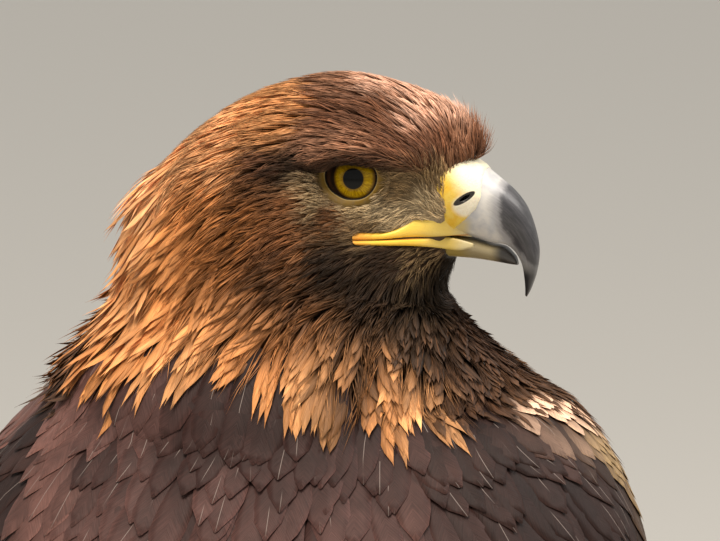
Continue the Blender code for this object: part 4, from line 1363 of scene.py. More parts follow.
# %% [markdown]
# Five kinds of feather are modelled, some in two or three versions, and then repeated. A barb is
# a three-sided cone, cut across by Bisect so that it can bend. A vane is a grid, drawn in to a
# feather's outline and given its thickness by Solidify. Both are one unit long and lie along Z,
# with their width along X.

# %% Model the single feathers
def template(obj):
    """Reads a modelled feather as arrays, and removes the object."""
    mesh = edit(obj, bpy.ops.mesh.quads_convert_to_tris).data
    face_outwards(obj)
    shape = points_of(mesh)
    faces = points_of(mesh, "polygons", "vertices").astype(int)
    edge = np.zeros(len(shape))
    if "edge" in mesh.attributes:
        mesh.attributes["edge"].data.foreach_get("value", edge)
    bpy.data.objects.remove(obj)
    return {"shape": shape, "faces": faces, "edge": edge}


def barb(rings, widest):
    """A thin tapering strand with a triangular section."""
    made, _ = added(bpy.ops.mesh.primitive_cone_add, vertices=3, radius1=1.0, radius2=0.0,
                    depth=1.0, location=(0, 0, 0.5))
    bpy.ops.object.transform_apply(location=True)
    for height in rings:
        edit(made, bpy.ops.mesh.bisect, plane_co=(0, 0, height), plane_no=(0, 0, 1))
    shape = points_of(made.data)
    along = shape[:, 2]
    round_here = np.maximum(1 - along, 0.02)
    beyond = np.maximum(along - widest, 0) / (1 - widest)
    bulge = np.where(along < widest, 0.45 + 0.55 * along / widest, 1 - beyond**1.6)
    shape[:, :2] *= np.where(along > 0.999, 1.0, bulge / round_here)[:, None]
    place_points(made, shape)
    return template(made)


def vane(columns, rows, outline, thick=0.05, notch=0.0, seed=0, blunt=1.0, droop=0.13):
    """A flat feather. The outline gives its half-width at each height, both from 0 to 1."""
    made, _ = added(bpy.ops.mesh.primitive_grid_add, x_subdivisions=columns, y_subdivisions=rows,
                    size=2.0, rotation=(pi / 2, 0, 0), location=(0, 0, 0))
    bpy.ops.object.transform_apply(rotation=True)
    draw = np.random.default_rng(seed)
    shape = points_of(made.data)
    along = 1 - (1 - (shape[:, 2] + 1) / 2) ** blunt
    across = shape[:, 0].copy()
    half = np.interp(along, *zip(*outline))
    ragged = {round(float(h), 4): draw.random(2) for h in np.unique(along.round(4))}
    trim = np.array([1 - notch * ragged[round(float(h), 4)][int(x > 0)] * abs(x)
                     for h, x in zip(along.round(4), across)])
    shape[:, 0] = across * half * trim
    shape[:, 2] = along - droop * np.abs(across) ** 1.6 * np.clip(along * 2.5 - 1.3, 0, 1)
    place_points(made, shape)
    edge = np.maximum(np.abs(across), np.clip(along * 2.5 - 1.5, 0, 1) ** 2)
    give(made, "edge", edge, "FLOAT")
    solid = made.modifiers.new("thickness", "SOLIDIFY")
    solid.thickness, solid.offset = thick, 0.0
    apply_all(made)
    return template(made)


LANCE = [(0, 0.2), (0.2, 0.5), (0.45, 0.86), (0.66, 1.0), (0.82, 0.84), (0.93, 0.52), (1, 0.1)]
SMALL = [(0, 0.3), (0.2, 0.75), (0.5, 1.0), (0.8, 0.72), (1, 0.12)]
BROAD = [(0, 0.2), (0.2, 0.66), (0.45, 0.95), (0.65, 1.0), (0.8, 0.9), (0.92, 0.66), (1, 0.24)]
QUILL = [(0, 0.05), (0.08, 0.3), (0.25, 0.85), (0.5, 1.0), (0.8, 0.9), (0.93, 0.6), (1, 0.12)]
BARB = barb((0.3, 0.7), 0.35)
LANCES = [vane(2, 5, LANCE, notch=0.16, seed=s, blunt=1.2, droop=0.05) for s in (1, 2, 3)]
SMALLS = [vane(2, 4, SMALL, notch=0.25, seed=s) for s in (4, 5)]
BROADS = [vane(4, 6, BROAD, notch=0.05, seed=s, blunt=1.2, droop=0.05) for s in (6, 7, 8)]
LONG_VANE = vane(4, 16, QUILL, notch=0.03, seed=9, droop=0.03)
for name, model in (("barb", BARB), ("lance", LANCES[0]), ("small", SMALLS[0]),
                    ("broad", BROADS[0]), ("long vane", LONG_VANE)):
    print(name, "has", len(model["faces"]), "triangles")

# %% [markdown]
# Planting bends copies of one modelled feather along many paths at once. Each corner of the
# model has a height along the feather, which says where on the path it goes, and a place
# across it, which moves it sideways along the skin. All copies become one mesh. Each
# corner also gets its colour, its place on the vane in millimetres for the fine pattern of
# barbs, and a spot in the feather's own patch of the baking map.

# %% Plant feathers
# The side of a feather's patch of the map, as a share of the map.
PATCH = 0.003


def plant(name, groups, material, slot):
    """Makes one mesh of groups of feathers, each group with its own modelled feather."""
    blocks = [bend(**group) for group in groups]
    counts = np.cumsum([0] + [len(b["points"]) for b in blocks[:-1]])
    faces = np.concatenate([b["faces"] + c for b, c in zip(blocks, counts)])
    points, tint, vane_place, uv = (np.concatenate([b[key] for b in blocks])
                                    for key in ("points", "tint", "vane", "uv"))
    mesh = bpy.data.meshes.new(name)
    mesh.vertices.add(len(points))
    mesh.vertices.foreach_set("co", points.ravel())
    mesh.loops.add(faces.size)
    mesh.loops.foreach_set("vertex_index", faces.ravel().astype(np.int32))
    mesh.polygons.add(len(faces))
    mesh.polygons.foreach_set("loop_start", np.arange(0, faces.size, 3, dtype=np.int32))
    mesh.update(calc_edges=True)
    obj = bpy.data.objects.new(name, mesh)
    bpy.context.scene.collection.objects.link(obj)
    give(obj, "Tint", tint, "FLOAT_COLOR")
    give(obj, "Vane", vane_place)
    mesh.uv_layers.new(name="OFBake").data.foreach_set("uv", uv[faces.ravel()].ravel())
    mesh.shade_smooth()
    mesh.materials.append(material)
    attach(obj, "root")
    print(name, "feathers:", sum(b["count"] for b in blocks), "triangles:", len(faces))


def bend(model, path, normals, depths, half, uv, root, tip, rise=(0.1, 1.0), thick=0.25,
         cup=0.0, lift=0.0, tilt=0.0, stack=0.0, fade=(0.2, 0.9), seed=0):
    """Bends copies of a modelled feather along paths. Half-widths and lifts are in metres."""
    draw = np.random.default_rng(seed)
    count, stations = path.shape[:2]
    shape, faces = model["shape"], model["faces"]
    along = np.clip(shape[:, 2], 0, 1)
    height = np.linspace(0, 1, stations)
    share = rise[0] + (rise[1] - rise[0]) * height**0.8
    lifted = path
    for above in (depths * share, np.reshape(lift, (-1, 1)) * height**2,
                  np.reshape(stack, (-1, 1)) * height**0.5):
        lifted = lifted + normals * above[:, :, None]
    forward = unit(np.gradient(lifted, axis=1))
    aside = unit(np.cross(forward, normals))
    up = np.cross(aside, forward)
    spot = along * (stations - 1)
    low = np.minimum(spot.astype(int), stations - 2)
    part = (spot - low)[None, :, None]

    def at(values):
        return values[:, low] * (1 - part) + values[:, low + 1] * part

    half = np.broadcast_to(half, (count,))[:, None, None]
    across = shape[:, 0][None, :, None] * half
    over = shape[:, 1][None, :, None] * half * thick - (across**2 / half) * cup
    over = over + across * np.reshape(tilt, (-1, 1, 1))
    points = at(lifted) + at(aside) * across + at(up) * over
    blend = np.clip((along - fade[0]) / (fade[1] - fade[0]), 0, 1)[None, :, None]
    colour = root[:, None, :] * (1 - blend) + tip[:, None, :] * blend
    edge = np.broadcast_to(model["edge"][None, :, None], (count, len(shape), 1))
    length = np.linalg.norm(np.diff(path, axis=1), axis=2).sum(1)[:, None]
    chance = np.broadcast_to(draw.random((count, 1)) * 50, (count, len(shape)))
    vane_place = np.stack([across[:, :, 0] / MM, along[None] * length / MM, chance], axis=2)
    own = np.stack([shape[:, 0] * 0.5, along - 0.5], axis=1)[None] * PATCH
    first = (np.arange(count) * len(shape))[:, None, None]
    return {"points": points.reshape(-1, 3).astype(np.float32),
            "faces": (faces[None] + first).reshape(-1, 3), "count": count,
            "tint": np.concatenate([colour, edge], axis=2).reshape(-1, 4).astype(np.float32),
            "vane": vane_place.reshape(-1, 3).astype(np.float32),
            "uv": (uv[:, None, :] + own).reshape(-1, 2).astype(np.float32)}


def gather(place, face, reach, seed):
    """Gathers roots into locks: each root's lock, and how far aside of its middle it stands."""
    heads = thin_out(place, reach, np.random.default_rng(seed).permutation(len(place)))
    middles = search_tree(place[heads])
    lock = np.array([middles.find(p)[1] for p in place.tolist()])
    normal = FACE_NORMAL[face]
    aside = np.cross(normal, lie(place, normal))
    return lock, ((place - place[heads[lock]]) * aside).sum(axis=1)


def grow(roots, models, seed, longer=1.0, wider=1.0, steps=4, jitter=7.0, wild=0.2, shade=0.25,
         patch=(9.0, 0.25), lock=0.0, dye=None, among=None, **looks):
    """Grows feathers from roots by the guides, with chance in size, heading and shade.

    Lock is the size of the locks that strands gather into, in widths of their guides. Dye is a
    pair of colours, root and tip, that take the place of the guides' own, and their share.
    """
    draw = np.random.default_rng(seed)
    place, face = roots["place"], roots["face"]
    shares = guided(place, FACE_NORMAL[face], among=among)
    size = shares @ GUIDE_SIZE
    count = len(place)
    length = size[:, 0] * MM * longer * (1 + wild * draw.uniform(-1, 1, count))
    half = size[:, 1] * MM / 2 * wider * (1 + wild * draw.uniform(-1, 1, count))
    wander = unruly(place, 8.0, seed) * 0.6
    turn = np.radians(jitter) * (draw.normal(size=count) * 0.7 + wander)
    light = 1 + shade * draw.uniform(-1, 1, count) + patch[1] * unruly(place, patch[0], seed + 40)
    if lock:
        of, aside = gather(place, face, size[:, 1] * MM * lock, seed + 7)
        locks = of.max() + 1
        light = light * (1 + 0.30 * draw.uniform(-1, 1, locks)[of])
        turn = turn * 0.5 + np.radians(jitter) * draw.normal(size=locks)[of]
        turn = turn - np.clip(aside / length, -0.35, 0.35)
        length = length * (1 + 0.15 * draw.uniform(-1, 1, locks)[of])
        looks["stack"] = 0.30 * MM * (draw.uniform(-1, 1, locks)[of]
                                      - (aside / (size[:, 1] * MM * lock)) ** 2)
    path, normals, depths = walk(roots, length, turn, steps)
    clear = clear_of_face(path, seed)
    light = np.clip(light, 0.35, 1.8)[:, None]
    root, tip = shares @ GUIDE_ROOT, shares @ GUIDE_TIP
    if dye:
        part = np.reshape(dye[2], (-1, 1))
        root, tip = (own * (1 - part) + np.array(COLOURS[name]) * part
                     for own, name in zip((root, tip), dye))
    root, tip = root * light, tip * light
    which = draw.integers(len(models), size=count)
    groups = []
    for k, model in enumerate(models):
        of = (which == k) & clear
        chosen = {key: value[of] if isinstance(value, np.ndarray) else value
                  for key, value in looks.items()}
        groups.append(dict(model=model, path=path[of], normals=normals[of], depths=depths[of],
                           half=half[of], uv=roots["uv"][of], root=root[of], tip=tip[of],
                           seed=seed + k, **chosen))
    return groups


# %% [markdown]
# Four materials serve all feathers, and all take their colour from the feather itself. One is
# for fine strands and down, with faint lines along them. The others are for true vanes: barbs
# slant out from the shaft at both sides, here as a stretched noise in the vane's own
# millimetres. The shaft has a colour of its own, and the worn edge is a little brighter.

# %% Feather materials
def strand_paint(name, roughness):
    paint = Paint(name, roughness, Specular_IOR_Level=0.2)
    across, along, chance = paint.parts(paint.read("Vane"))
    tint = paint.read("Tint", "Color")
    lines = paint.mottle(paint.vector(across * 3.2, along * 0.28, chance), detail=1.0)
    value = paint.ease(lines, 0.3, 0.72, 0.70, 1.25)
    return paint.finish(paint.shade(tint, value), height=lines * 0.3, relief=0.4)


def vane_paint(name, roughness, slant, shaft_light, shaft_share, edge_light, barb_width,
               shaft_width=0.18, bars=0.0, wear=0.5):
    paint = Paint(name, roughness, Specular_IOR_Level=0.2)
    across, along, chance = paint.parts(paint.read("Vane"))
    tint = paint.read("Tint", "Color")
    edge = paint.read("Tint", "Alpha")
    side = across.size()
    over = (along * sin(slant) - side * cos(slant)) / barb_width
    out = (along * cos(slant) + side * sin(slant)) * 0.10
    barbs = paint.mottle(paint.vector(over, out, chance), detail=2.0, roughness=0.6)
    clouds = paint.mottle(paint.vector(across * 0.12, along * 0.08, chance + 9.0), detail=2.0)
    value = paint.ease(barbs, 0.28, 0.74, 0.74, 1.24) * paint.ease(clouds, 0.3, 0.7, 0.80, 1.20)
    rim = paint.ease(edge + barbs * 0.3, 0.85, 1.2)
    value = value * (1.0 + rim * edge_light)
    if bars:
        wave = along * 0.36 + side * 0.10 + clouds * 5.0 + chance * 3.0
        value = value * (1.0 + paint.ease(wave.sine(), -0.2, 0.7) * bars)
    colour = paint.shade(tint, value)
    shaft = paint.ease(side, shaft_width * 0.5, shaft_width * 1.4, 1.0, 0.0)
    if wear:
        worn = paint.mottle(paint.vector(0.0, along * 0.05, chance + 4.0), detail=0.0)
        shaft = shaft * paint.ease(worn, wear, wear + 0.12)
    colour = paint.mix(colour, shaft_light, shaft * shaft_share)
    return paint.finish(colour, height=barbs * 0.4 + shaft * 0.3, relief=0.5)


STRAND = strand_paint("fine_plumage", 0.6)
HACKLE = vane_paint("hackle_plumage", 0.58, radians(11), (0.30, 0.12, 0.04), 0.25, 0.12, 0.30)
VANE = vane_paint("contour_plumage", 0.6, radians(34), (0.36, 0.30, 0.27), 0.50, 0.65, 0.26,
                  shaft_width=0.13, wear=0.50)
FLIGHT = vane_paint("flight_plumage", 0.5, radians(32), (0.016, 0.011, 0.009), 0.9, 0.8, 0.34,
                    shaft_width=0.9, bars=0.55, wear=0.0)
print("feather materials:", STRAND.name, HACKLE.name, VANE.name, FLIGHT.name)

# %% [markdown]
# Where does each coat grow? A face of the skin belongs to the solid that lay over it, and on the
# head its place is also known in the head's millimetres. Nothing grows inside the bill, in the
# opening of the eye or on the lips.

# %% Zones of the coat
def over(*parts):
    """Whether each face of the skin lies over solids whose names start so."""
    return np.array([name.startswith(parts) for name in FLESH])[FACE_NODE]


ON_HEAD = over("head")
PLACE = to_head(FACE_MIDDLE)
FORWARD, SIDE, UP = PLACE.T


def inside_solid(node, points, margin):
    """Whether places lie inside a solid, or closer to it than the margin."""
    piece = merged_copy(node, "probe")
    tree = tree_of(piece.data)
    bpy.data.objects.remove(piece)
    found = []
    for p in points.tolist():
        spot, normal, _, distance = tree.find_nearest(p)
        found.append(distance < margin or (Vector(p) - spot).dot(normal) < 0 and distance < 0.02)
    return np.array(found)


def over_lips(places):
    """Whether places on the head, in its millimetres, lie over the lips or the bill's root."""
    forward, up = places[..., 0], places[..., 2]
    top = np.interp(forward, [r[0] for r in UPPER_LIP], [r[2] for r in UPPER_LIP])
    low = np.interp(forward, [r[0] for r in LOWER_LIP], [r[2] for r in LOWER_LIP])
    lips = (forward > 0.7) & (forward < 34) & (up < top - 0.25) & (up > low + 0.2)
    return lips & (np.abs(places[..., 1]) > 7)


def over_eye(places, margin):
    angle, away = from_opening(places[..., 0], places[..., 2])
    return (away < margin) & (places[..., 2] < 5.6) & (np.abs(places[..., 1]) > 9)


def clear_of_face(path, seed):
    """Drops most feathers that would cross the lips or the opening of the eye."""
    places = to_head(path[:, 1:])
    crossing = (over_lips(places) | over_eye(places, 0.3)).any(axis=1)
    spared = np.random.default_rng(seed).random(len(path)) < 0.03
    return ~crossing | (spared & ~over_eye(places, 0.3).any(axis=1))


bare = np.zeros(len(FACE_MIDDLE), bool)
near_bill = np.flatnonzero(ON_HEAD & (FORWARD > 10))
for node in ("bill_upper", "bill_lower"):
    bare[near_bill] |= inside_solid(node, FACE_MIDDLE[near_bill], 0.3 * MM)
eye_angle, eye_away = from_opening(FORWARD, UP)
LID_BARE = np.where(np.sin(eye_angle) > 0.35, -0.2, 2.6)
bare |= ON_HEAD & (eye_away < LID_BARE) & (np.abs(SIDE) > 9) & (np.abs(FORWARD) < 22)
bare |= over_lips(PLACE) & ON_HEAD
# The width of the feathers in millimetres, by the guides.
WIDTH = (guided(FACE_MIDDLE, FACE_NORMAL) @ GUIDE_SIZE)[:, 1]
print("bare faces:", int(bare.sum()), "head faces:", int(ON_HEAD.sum()))


def coat(name, mask, spacing, seeds, models, material, slot, **looks):
    """Plants a coat on part of the skin. A look may be a function of the roots."""
    roots = spread(np.where(mask & ~bare, spacing, 0.0), seeds[0])
    looks = {key: look(roots) if callable(look) else look for key, look in looks.items()}
    plant(name, grow(roots, models, seeds[1], **looks), material, slot)


# %% [markdown]
# The head's coat has two layers. Small soft feathers lie below and give the locks their form.
# Thousands of fine strands lie over them, as the loose barbs of the tiny feathers do on the
# real head. They are shortest and finest in front of the eye.

# %% Feathers of the head
HEAD_COAT = over("head", "neck") & (WIDTH < 3.6)


# In millimetres.
FOREHEAD_LIFT = 5.5


def forehead_lift(roots):
    """Tips stand out over the bill's root, and a little all over the head."""
    forward = to_head(roots["place"])[:, 0]
    draw = np.random.default_rng(8).random(len(forward))
    return (0.35 * draw**2 + FOREHEAD_LIFT * smooth_step(forward, 26, 38) * draw) * MM


coat("head_down", HEAD_COAT, np.clip(WIDTH * 1.7, 1.7, 4.0), (11, 12), SMALLS, STRAND,
     "brown_plumage", wider=2.0, steps=3, rise=(0.05, 0.75), thick=0.3, cup=0.25)
quarters = {"right_front": (-1, 1), "right_back": (-1, -1), "left_front": (1, 1),
            "left_back": (1, -1)}
for seed, (name, (side, end)) in enumerate(quarters.items()):
    quarter = HEAD_COAT & (SIDE * side >= 0) & ((FORWARD + 14) * end >= 0) & (WIDTH > 0.74)
    coat(f"head_barbs_{name}", quarter, np.clip(0.42 + WIDTH * 0.22, 0.55, 1.05),
         (13 + seed, 25 + seed), [BARB], STRAND, "brown_plumage", wider=0.40, thick=0.45,
         rise=(0.40, 1.0), patch=(9.0, 0.2), jitter=6, lock=1.6, lift=forehead_lift)

# %% [markdown]
# The lores, between the eye and the bill, and the rims of lids and lips carry short bristles
# that stand off a little. A thick fringe of dark ones makes the hard lower edge of the brow;
# they are dyed nearly black, which is painted shadow under the ledge.

# %% Bristles of the face
coat("face_bristles", HEAD_COAT & (WIDTH <= 0.78), 0.52, (17, 18), [BARB], STRAND,
     "brown_plumage", wider=0.50, steps=3, thick=0.6, jitter=13, rise=(0.5, 1.1), shade=0.45,
     lift=0.25 * MM, wild=0.3, lock=2.0)
above_brow = UP - np.interp(FORWARD, *BROW_EDGE.T)
FRINGE = ON_HEAD & (np.abs(SIDE) > 12) & (above_brow > -0.4) & (above_brow < 2.0)
FRINGE &= (FORWARD > -24) & (FORWARD < 27)
# The fringe's near-black dye is painted shadow under the brow.
coat("brow_fringe", FRINGE, 0.6, (19, 20), [BARB], STRAND, "brown_plumage", longer=1.2,
     wider=0.5, thick=0.6, rise=(0.6, 1.0), lift=0.9 * MM, jitter=6,
     dye=("crown_dark", "soot", 0.85))

# %% [markdown]
# The nape and neck wear the golden hackles that give the bird its name: long, narrow, pointed
# feathers that part from each other, with dark gaps between. A scatter of loose strands over
# them breaks up their edges.

# %% Hackles of the neck
# In metres above the ground.
LOWEST_HACKLE = 0.40
HACKLES = over("head", "neck", "trunk", "wing_left_arm", "wing_right_arm")
HACKLES &= (WIDTH >= 3.0) & (WIDTH < 8.0) & (FACE_MIDDLE[:, 2] > LOWEST_HACKLE)
NECK_WIDTHS = (1.2, 7.0)


def breast_dye(roots):
    """In front, low on the neck, the hackles turn as brown as the breast."""
    in_front = smooth_step(-FACE_NORMAL[roots["face"]][:, 1], 0.0, 0.55)
    in_front *= 1 - smooth_step(roots["place"][:, 2], 0.50, 0.56)
    return "breast", "breast_tip", in_front * 0.9


for hand, chosen, seed in (("right", SIDE < 0, 21), ("left", SIDE >= 0, 26)):
    def stick_out(roots):
        behind = 1 - smooth_step(to_head(roots["place"])[:, 0], -62, -42)
        draw = np.random.default_rng(seed).random(len(behind))
        return draw**2.2 * (0.8 + 5.2 * behind) * MM

    coat(f"hackles_{hand}", HACKLES & chosen, np.clip(WIDTH * 0.50, 1.8, 3.4), (seed, seed + 1),
         LANCES, HACKLE, "golden_plumage", wider=0.78, steps=6, rise=(0.55, 1.06), thick=0.3,
         cup=0.25, longer=1.04, lock=1.35, lift=stick_out, shade=0.30, patch=(14.0, 0.25),
         fade=(0.3, 0.95), among=NECK_WIDTHS, dye=breast_dye)
coat("hackle_barbs", HACKLES, np.clip(WIDTH * 0.30, 1.0, 1.7), (23, 24), [BARB], STRAND,
     "golden_plumage", longer=0.8, wider=0.09, steps=5, jitter=6, lock=0.9, thick=0.6,
     rise=(0.6, 1.06), among=NECK_WIDTHS)

# %% [markdown]
# The mantle, the breast and the wing coverts are broad feathers, about twice as wide as they
# are apart. Each overlaps the next, with a thin pale shaft and a paler worn edge. The thighs
# wear small soft ones.

# %% Mantle, coverts and breast
BROAD_COAT = WIDTH >= 7.4
BROAD_WIDTHS = (7.5, 99.0)
# How far down the slope of the back each face lies, in millimetres.
DOWN_BACK = FACE_MIDDLE @ np.array((0.0, 0.66, -0.75)) / MM
# How far down the back the coverts reach, in the same measure.
COVERTS_END = -235.0
FLIGHT_SKIN = (over("wing") & (DOWN_BACK > COVERTS_END)) | over("tail")
ON_RIGHT = FACE_MIDDLE[:, 0] < 0
BODY_COAT, WING_COAT = BROAD_COAT & over("trunk", "neck", "head"), BROAD_COAT & over("wing")
for name, mask, seed in (("body_feathers_right", BODY_COAT & ON_RIGHT, 31),
                         ("body_feathers_left", BODY_COAT & ~ON_RIGHT, 35),
                         ("wing_feathers_right", WING_COAT & ON_RIGHT, 32),
                         ("wing_feathers_left", WING_COAT & ~ON_RIGHT, 33),
                         ("leg_feathers", over("thigh"), 34)):
    legs = name == "leg_feathers"
    coat(name, mask & ~FLIGHT_SKIN, np.clip(WIDTH * 0.385, 3.2, 6.6), (seed, seed + 10),
         SMALLS if legs else BROADS, VANE, "dark_plumage", longer=1.12, wider=0.80, steps=5,
         rise=(0.72, 1.0), thick=0.10, cup=0.10, wild=0.12, shade=0.15, patch=(30.0, 0.12),
         jitter=6, among=None if legs else BROAD_WIDTHS)

# %% [markdown]
# The long feathers of the wings and the tail are set one by one. Each is given by its tip: how
# far along the folded wing or the tail, and how far round the body. From there its path is
# walked back along the skin to its root, which hides under the coverts. Wings fold like fans,
# so the feather nearest the back lies on top. The middle pair tops the twelve of the tail.

# %% Flight and tail feathers
# Down the folded wing: its middle line (y, z), its half-width and its depth, in millimetres.
FOLDED_WING = [(-139, 392, 122, 100), (-100, 338, 110, 91), (-54, 286, 92, 75), (-5, 241, 72, 59),
               (30, 213, 57, 46), (76, 182, 46, 36), (128, 149, 36, 28), (179, 116, 27, 22),
               (221, 88, 19, 18)]
TAIL_ON, TAIL_BACK = np.array((0.0, 0.839, -0.545)), np.array((0.0, 0.545, 0.839))
TAIL_START, TAIL_LONG = np.array((0.0, -5.0, 237.0)), 331.0
UP_THE_BACK = np.array((0.0, -0.66, 0.75))
STEPS_BACK = 14


def wing_tip(share, angle, side):
    y, z, wide, deep = smooth_rows(FOLDED_WING, share)
    turn = radians(angle)
    return ((0, y, z) + TAIL_BACK * deep * cos(turn) + (side * wide * sin(turn), 0, 0)) * MM


def walk_back(tip, length, aside):
    """A path along the skin from a root to a given tip. Aside is the lean of its root."""
    def aim(place, normal):
        up = float(np.clip((place[0, 2] - 0.19) / 0.10, 0, 1))
        way = UP_THE_BACK * up - TAIL_ON * (1 - up) + np.array((aside, 0, 0))
        way = way - normal[0] * (way @ normal[0])
        way *= length * MM / STEPS_BACK / np.linalg.norm(way)
        return place + way + normal * 2 * MM

    columns = follow(on_skin(tip[None])[:3], aim, STEPS_BACK)
    return [np.stack(column[::-1], 1) for column in columns]


def flight(name, rows, side, rise):
    """Plants feathers from rows of tip, length, width, aside, height of the layer."""
    draw = np.random.default_rng(len(name))
    walks = [walk_back(tip, length, aside) for tip, length, width, aside, layer in rows]
    path, normals, depths = (np.concatenate([w[k] for w in walks]) for k in range(3))
    light = draw.uniform(0.85, 1.2, (len(rows), 1))
    uv = SKIN_UV[on_skin(path[:, STEPS_BACK // 2])[3]].mean(axis=1)
    group = dict(path=path, normals=normals, depths=depths, uv=uv, rise=rise, thick=0.25,
                 half=np.array([row[2] for row in rows]) * MM / 2, cup=0.10,
                 stack=np.array([row[4] for row in rows]) * MM, tilt=0.09 * side,
                 root=light * COLOURS["flight"], tip=light * COLOURS["flight"])
    plant(name, [dict(model=LONG_VANE, **group)], FLIGHT, "dark_plumage")


SECONDARIES, PRIMARIES, TAIL_HALF = 12, 8, 6
# Length and width of each kind, in millimetres.
SECONDARY, PRIMARY, TAIL_FEATHER = (155, 33), (185, 24), (230, 38)
PRIMARY_TIPS = (0.70, 0.77, 0.84, 0.90, 0.955, 0.99, 0.975, 0.945)
for hand, side in (("right", -1), ("left", 1)):
    rows = [(wing_tip(0.62 - 0.010 * k, 9 + 7.0 * k, side), *SECONDARY, side * 0.12,
             2.6 * (1 - k / SECONDARIES)) for k in range(SECONDARIES)][::-1]
    flight(f"secondaries_{hand}", rows, side, (0.45, 1.0))
    rows = [(wing_tip(PRIMARY_TIPS[k], 14 + 6.6 * k, side), *PRIMARY, side * 0.10,
             1.6 * (1 - k / PRIMARIES)) for k in range(PRIMARIES)][::-1]
    flight(f"primaries_{hand}", rows, side, (0.2, 0.8))
    for name, face, order in (("above", 1, -1), ("below", -1, 1)):
        rows = []
        for k in range(TAIL_HALF):
            reach = TAIL_LONG - 2 - 13 * (k / 5) ** 2
            tip = TAIL_START + TAIL_ON * reach + TAIL_BACK * face * 3
            tip = (tip + np.array((side * (3.5 + 6.6 * k), 0, 0))) * MM
            layer = 0.3 + (0.34 * (TAIL_HALF - k) if face > 0 else 0.34 * k)
            rows.append((tip, *TAIL_FEATHER, -side * 0.012 * k, layer))
        flight(f"tail_{name}_{hand}", rows, side, (0.5, 1.0))
print("flight feathers:", 2 * (SECONDARIES + PRIMARIES), "tail feathers:", 2 * TAIL_HALF)

# %% [markdown]
# The tarsus is feathered down to the toes, as in every true eagle, with short pale down.

# %% Tarsi
# In metres above the ground.
TOES_TOP = 0.024
TARSI = over("tarsus") | (over("foot") & (FACE_MIDDLE[:, 2] > TOES_TOP))
coat("tarsus_down", TARSI, 2.6, (51, 52), SMALLS, STRAND, "pale_plumage", wider=1.3, steps=3,
     thick=0.3, cup=0.3)

# %% [markdown]
# The toes are bare. Small knobbly scales cover them, which the skin's material shows, and the end
# of each toe carries a few broad plates on top, made from one modelled plate. The claws keep the
# shape of their solids, smoothed by Subdivision Surface, in black horn.

# %% Plates and claws
# Each toe: its heading from straight ahead towards the outside, its length and its height.
TOES = {"inner": (-32, 46, 18.4), "middle": (4, 66, 17.6), "outer": (40, 52, 16.4),
        "hind": (176, 38, 19.4)}
FOOT_PLACE = (59.0, -125.0)
PLATES, PLATE_LONG, PLATE_WIDE, PLATES_APART = 4, 5.8, 10.8, 5.0
PLATE = vane(4, 3, [(0, 0.7), (0.4, 1.0), (0.8, 0.92), (1, 0.62)], thick=0.16)
rows = []
for side in (1, -1):
    for heading, length, height in TOES.values():
        turn = radians(heading)
        ahead = np.array((side * sin(turn), -cos(turn), 0))
        for k in range(PLATES):
            start = length - 5.2 - PLATES_APART * k
            root = np.array((side * FOOT_PLACE[0], FOOT_PLACE[1], height + 1)) + ahead * start
            rows.append([(root + ahead * PLATE_LONG * share) * MM
                         for share in (0, 0.25, 0.5, 0.75, 1)])
spots = np.array(rows)
path, normals, _, faces = on_skin(spots.reshape(-1, 3))
path, normals = path.reshape(spots.shape), normals.reshape(spots.shape)
count = len(rows)
toe_yellow = np.tile(COLOURS["toe"], (count, 1))
group = dict(model=PLATE, path=path, normals=normals, depths=np.full(spots.shape[:2], 0.9 * MM),
             uv=SKIN_UV[faces.reshape(count, -1)[:, 2]].mean(axis=1), root=toe_yellow,
             tip=toe_yellow, half=np.full(count, PLATE_WIDE / 2 * MM), rise=(0.15, 0.75),
             thick=1.0, cup=0.38)
paint = Paint("plate_paint", 0.42)
across, along_plate, _ = paint.parts(paint.read("Vane"))
grain = paint.mottle(paint.vector(across, along_plate, 0.0), 0.9, 3.0)
value = paint.ease(grain, 0.3, 0.7, 0.72, 1.05)
colour = paint.shade(paint.read("Tint", "Color"), value)
plant("toe_plates", [group], paint.finish(colour, height=grain * 0.4, coat=0.1), "yellow_skin")


def claw_paint():
    paint = Paint("claw_paint", 0.3, Coat_Roughness=0.2)
    where = paint.add("ShaderNodeTexCoord", output="Object")
    fine = paint.mottle(where, 420.0, 4.0, 0.7)
    broad = paint.mottle(where, 60.0, 2.0)
    colour = paint.layers((0.012, 0.011, 0.011), [
        ((0.045, 0.040, 0.036), broad, 0.4, 0.7),
        ((0.075, 0.066, 0.058), fine, 0.55, 0.8, 0.0, 0.6)])
    return paint.finish(colour, height=fine * 0.3, relief=0.3, coat=0.4)


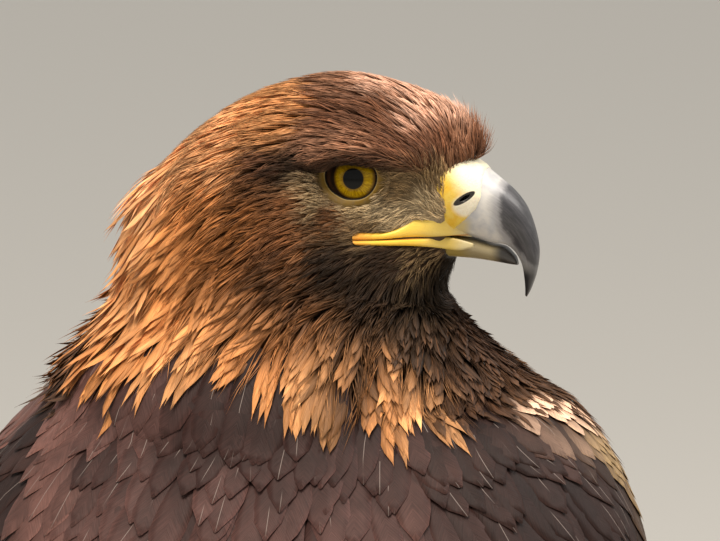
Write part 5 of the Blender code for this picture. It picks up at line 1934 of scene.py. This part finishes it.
CLAW_PAINT = claw_paint()
for node in sorted(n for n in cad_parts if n.startswith("claw")):
    made = merged_copy(node, node + "_horn")
    smooth = made.modifiers.new("smooth", "SUBSURF")
    smooth.levels = smooth.render_levels = 2
    apply_all(made)
    made.data.shade_smooth()
    made.data.materials.append(CLAW_PAINT)
    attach(made, "root")
    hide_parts(node)
print("plates:", count, "claws:", 2 * len(TOES))

# %% [markdown]
# Last, the skin gets its colours: those of the feathers over it, darkened, as little light gets
# down to it. The lids are olive yellow with a dark rim, and the toes are yellow with scales.

# %% Skin colours
shares = guided(SKIN_POINTS, SKIN_NORMALS)
skin_tint = shares @ (0.5 * GUIDE_ROOT + 0.1 * GUIDE_TIP)
on_feet = 1 - smooth_step(SKIN_POINTS[:, 2] / MM, 30, 46)
skin_tint = skin_tint * (1 - on_feet[:, None]) + on_feet[:, None] * np.array(COLOURS["toe"])
give(skin, "Tint", np.c_[skin_tint, on_feet], "FLOAT_COLOR")
paint = Paint("skin_paint", 0.55, Specular_IOR_Level=0.25)
where = paint.add("ShaderNodeTexCoord", output="Object")
pores = paint.mottle(where, 900.0, 3.0)
scales = paint.add("ShaderNodeTexVoronoi", {"feature": "DISTANCE_TO_EDGE"},
                   {"Vector": where, "Scale": 330.0}, output="Distance")
on_feet = paint.read("Tint", "Alpha")
grooves = paint.ease(scales, 0.02, 0.14, 1.0, 0.0) * on_feet
value = paint.ease(pores, 0.3, 0.7, 0.75, 1.1)
colour = paint.shade(paint.read("Tint", "Color"), value)
colour = paint.mix(colour, (0.30, 0.17, 0.02), grooves * 0.75)
away = paint.read("Lid", "Fac")
rim = paint.mix((0.18, 0.100, 0.006), (0.13, 0.078, 0.016), paint.ease(away, 0.8, 2.4))
rim = paint.mix(rim, (0.13, 0.085, 0.035), paint.ease(pores, 0.5, 0.75, 0.0, 0.7))
rim = paint.mix((0.30, 0.21, 0.07), rim, paint.ease(away, 0.5, 0.8))
rim = paint.mix((0.012, 0.008, 0.005), rim, paint.ease(away, 0.30, 0.48))
colour = paint.mix(rim, colour, paint.ease(away, 2.4, 4.2))
mesh.materials.append(paint.finish(colour, height=pores * 0.2 - grooves * 0.8, relief=0.5))
mesh.shade_smooth()
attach(skin, "root")
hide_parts(*FLESH)
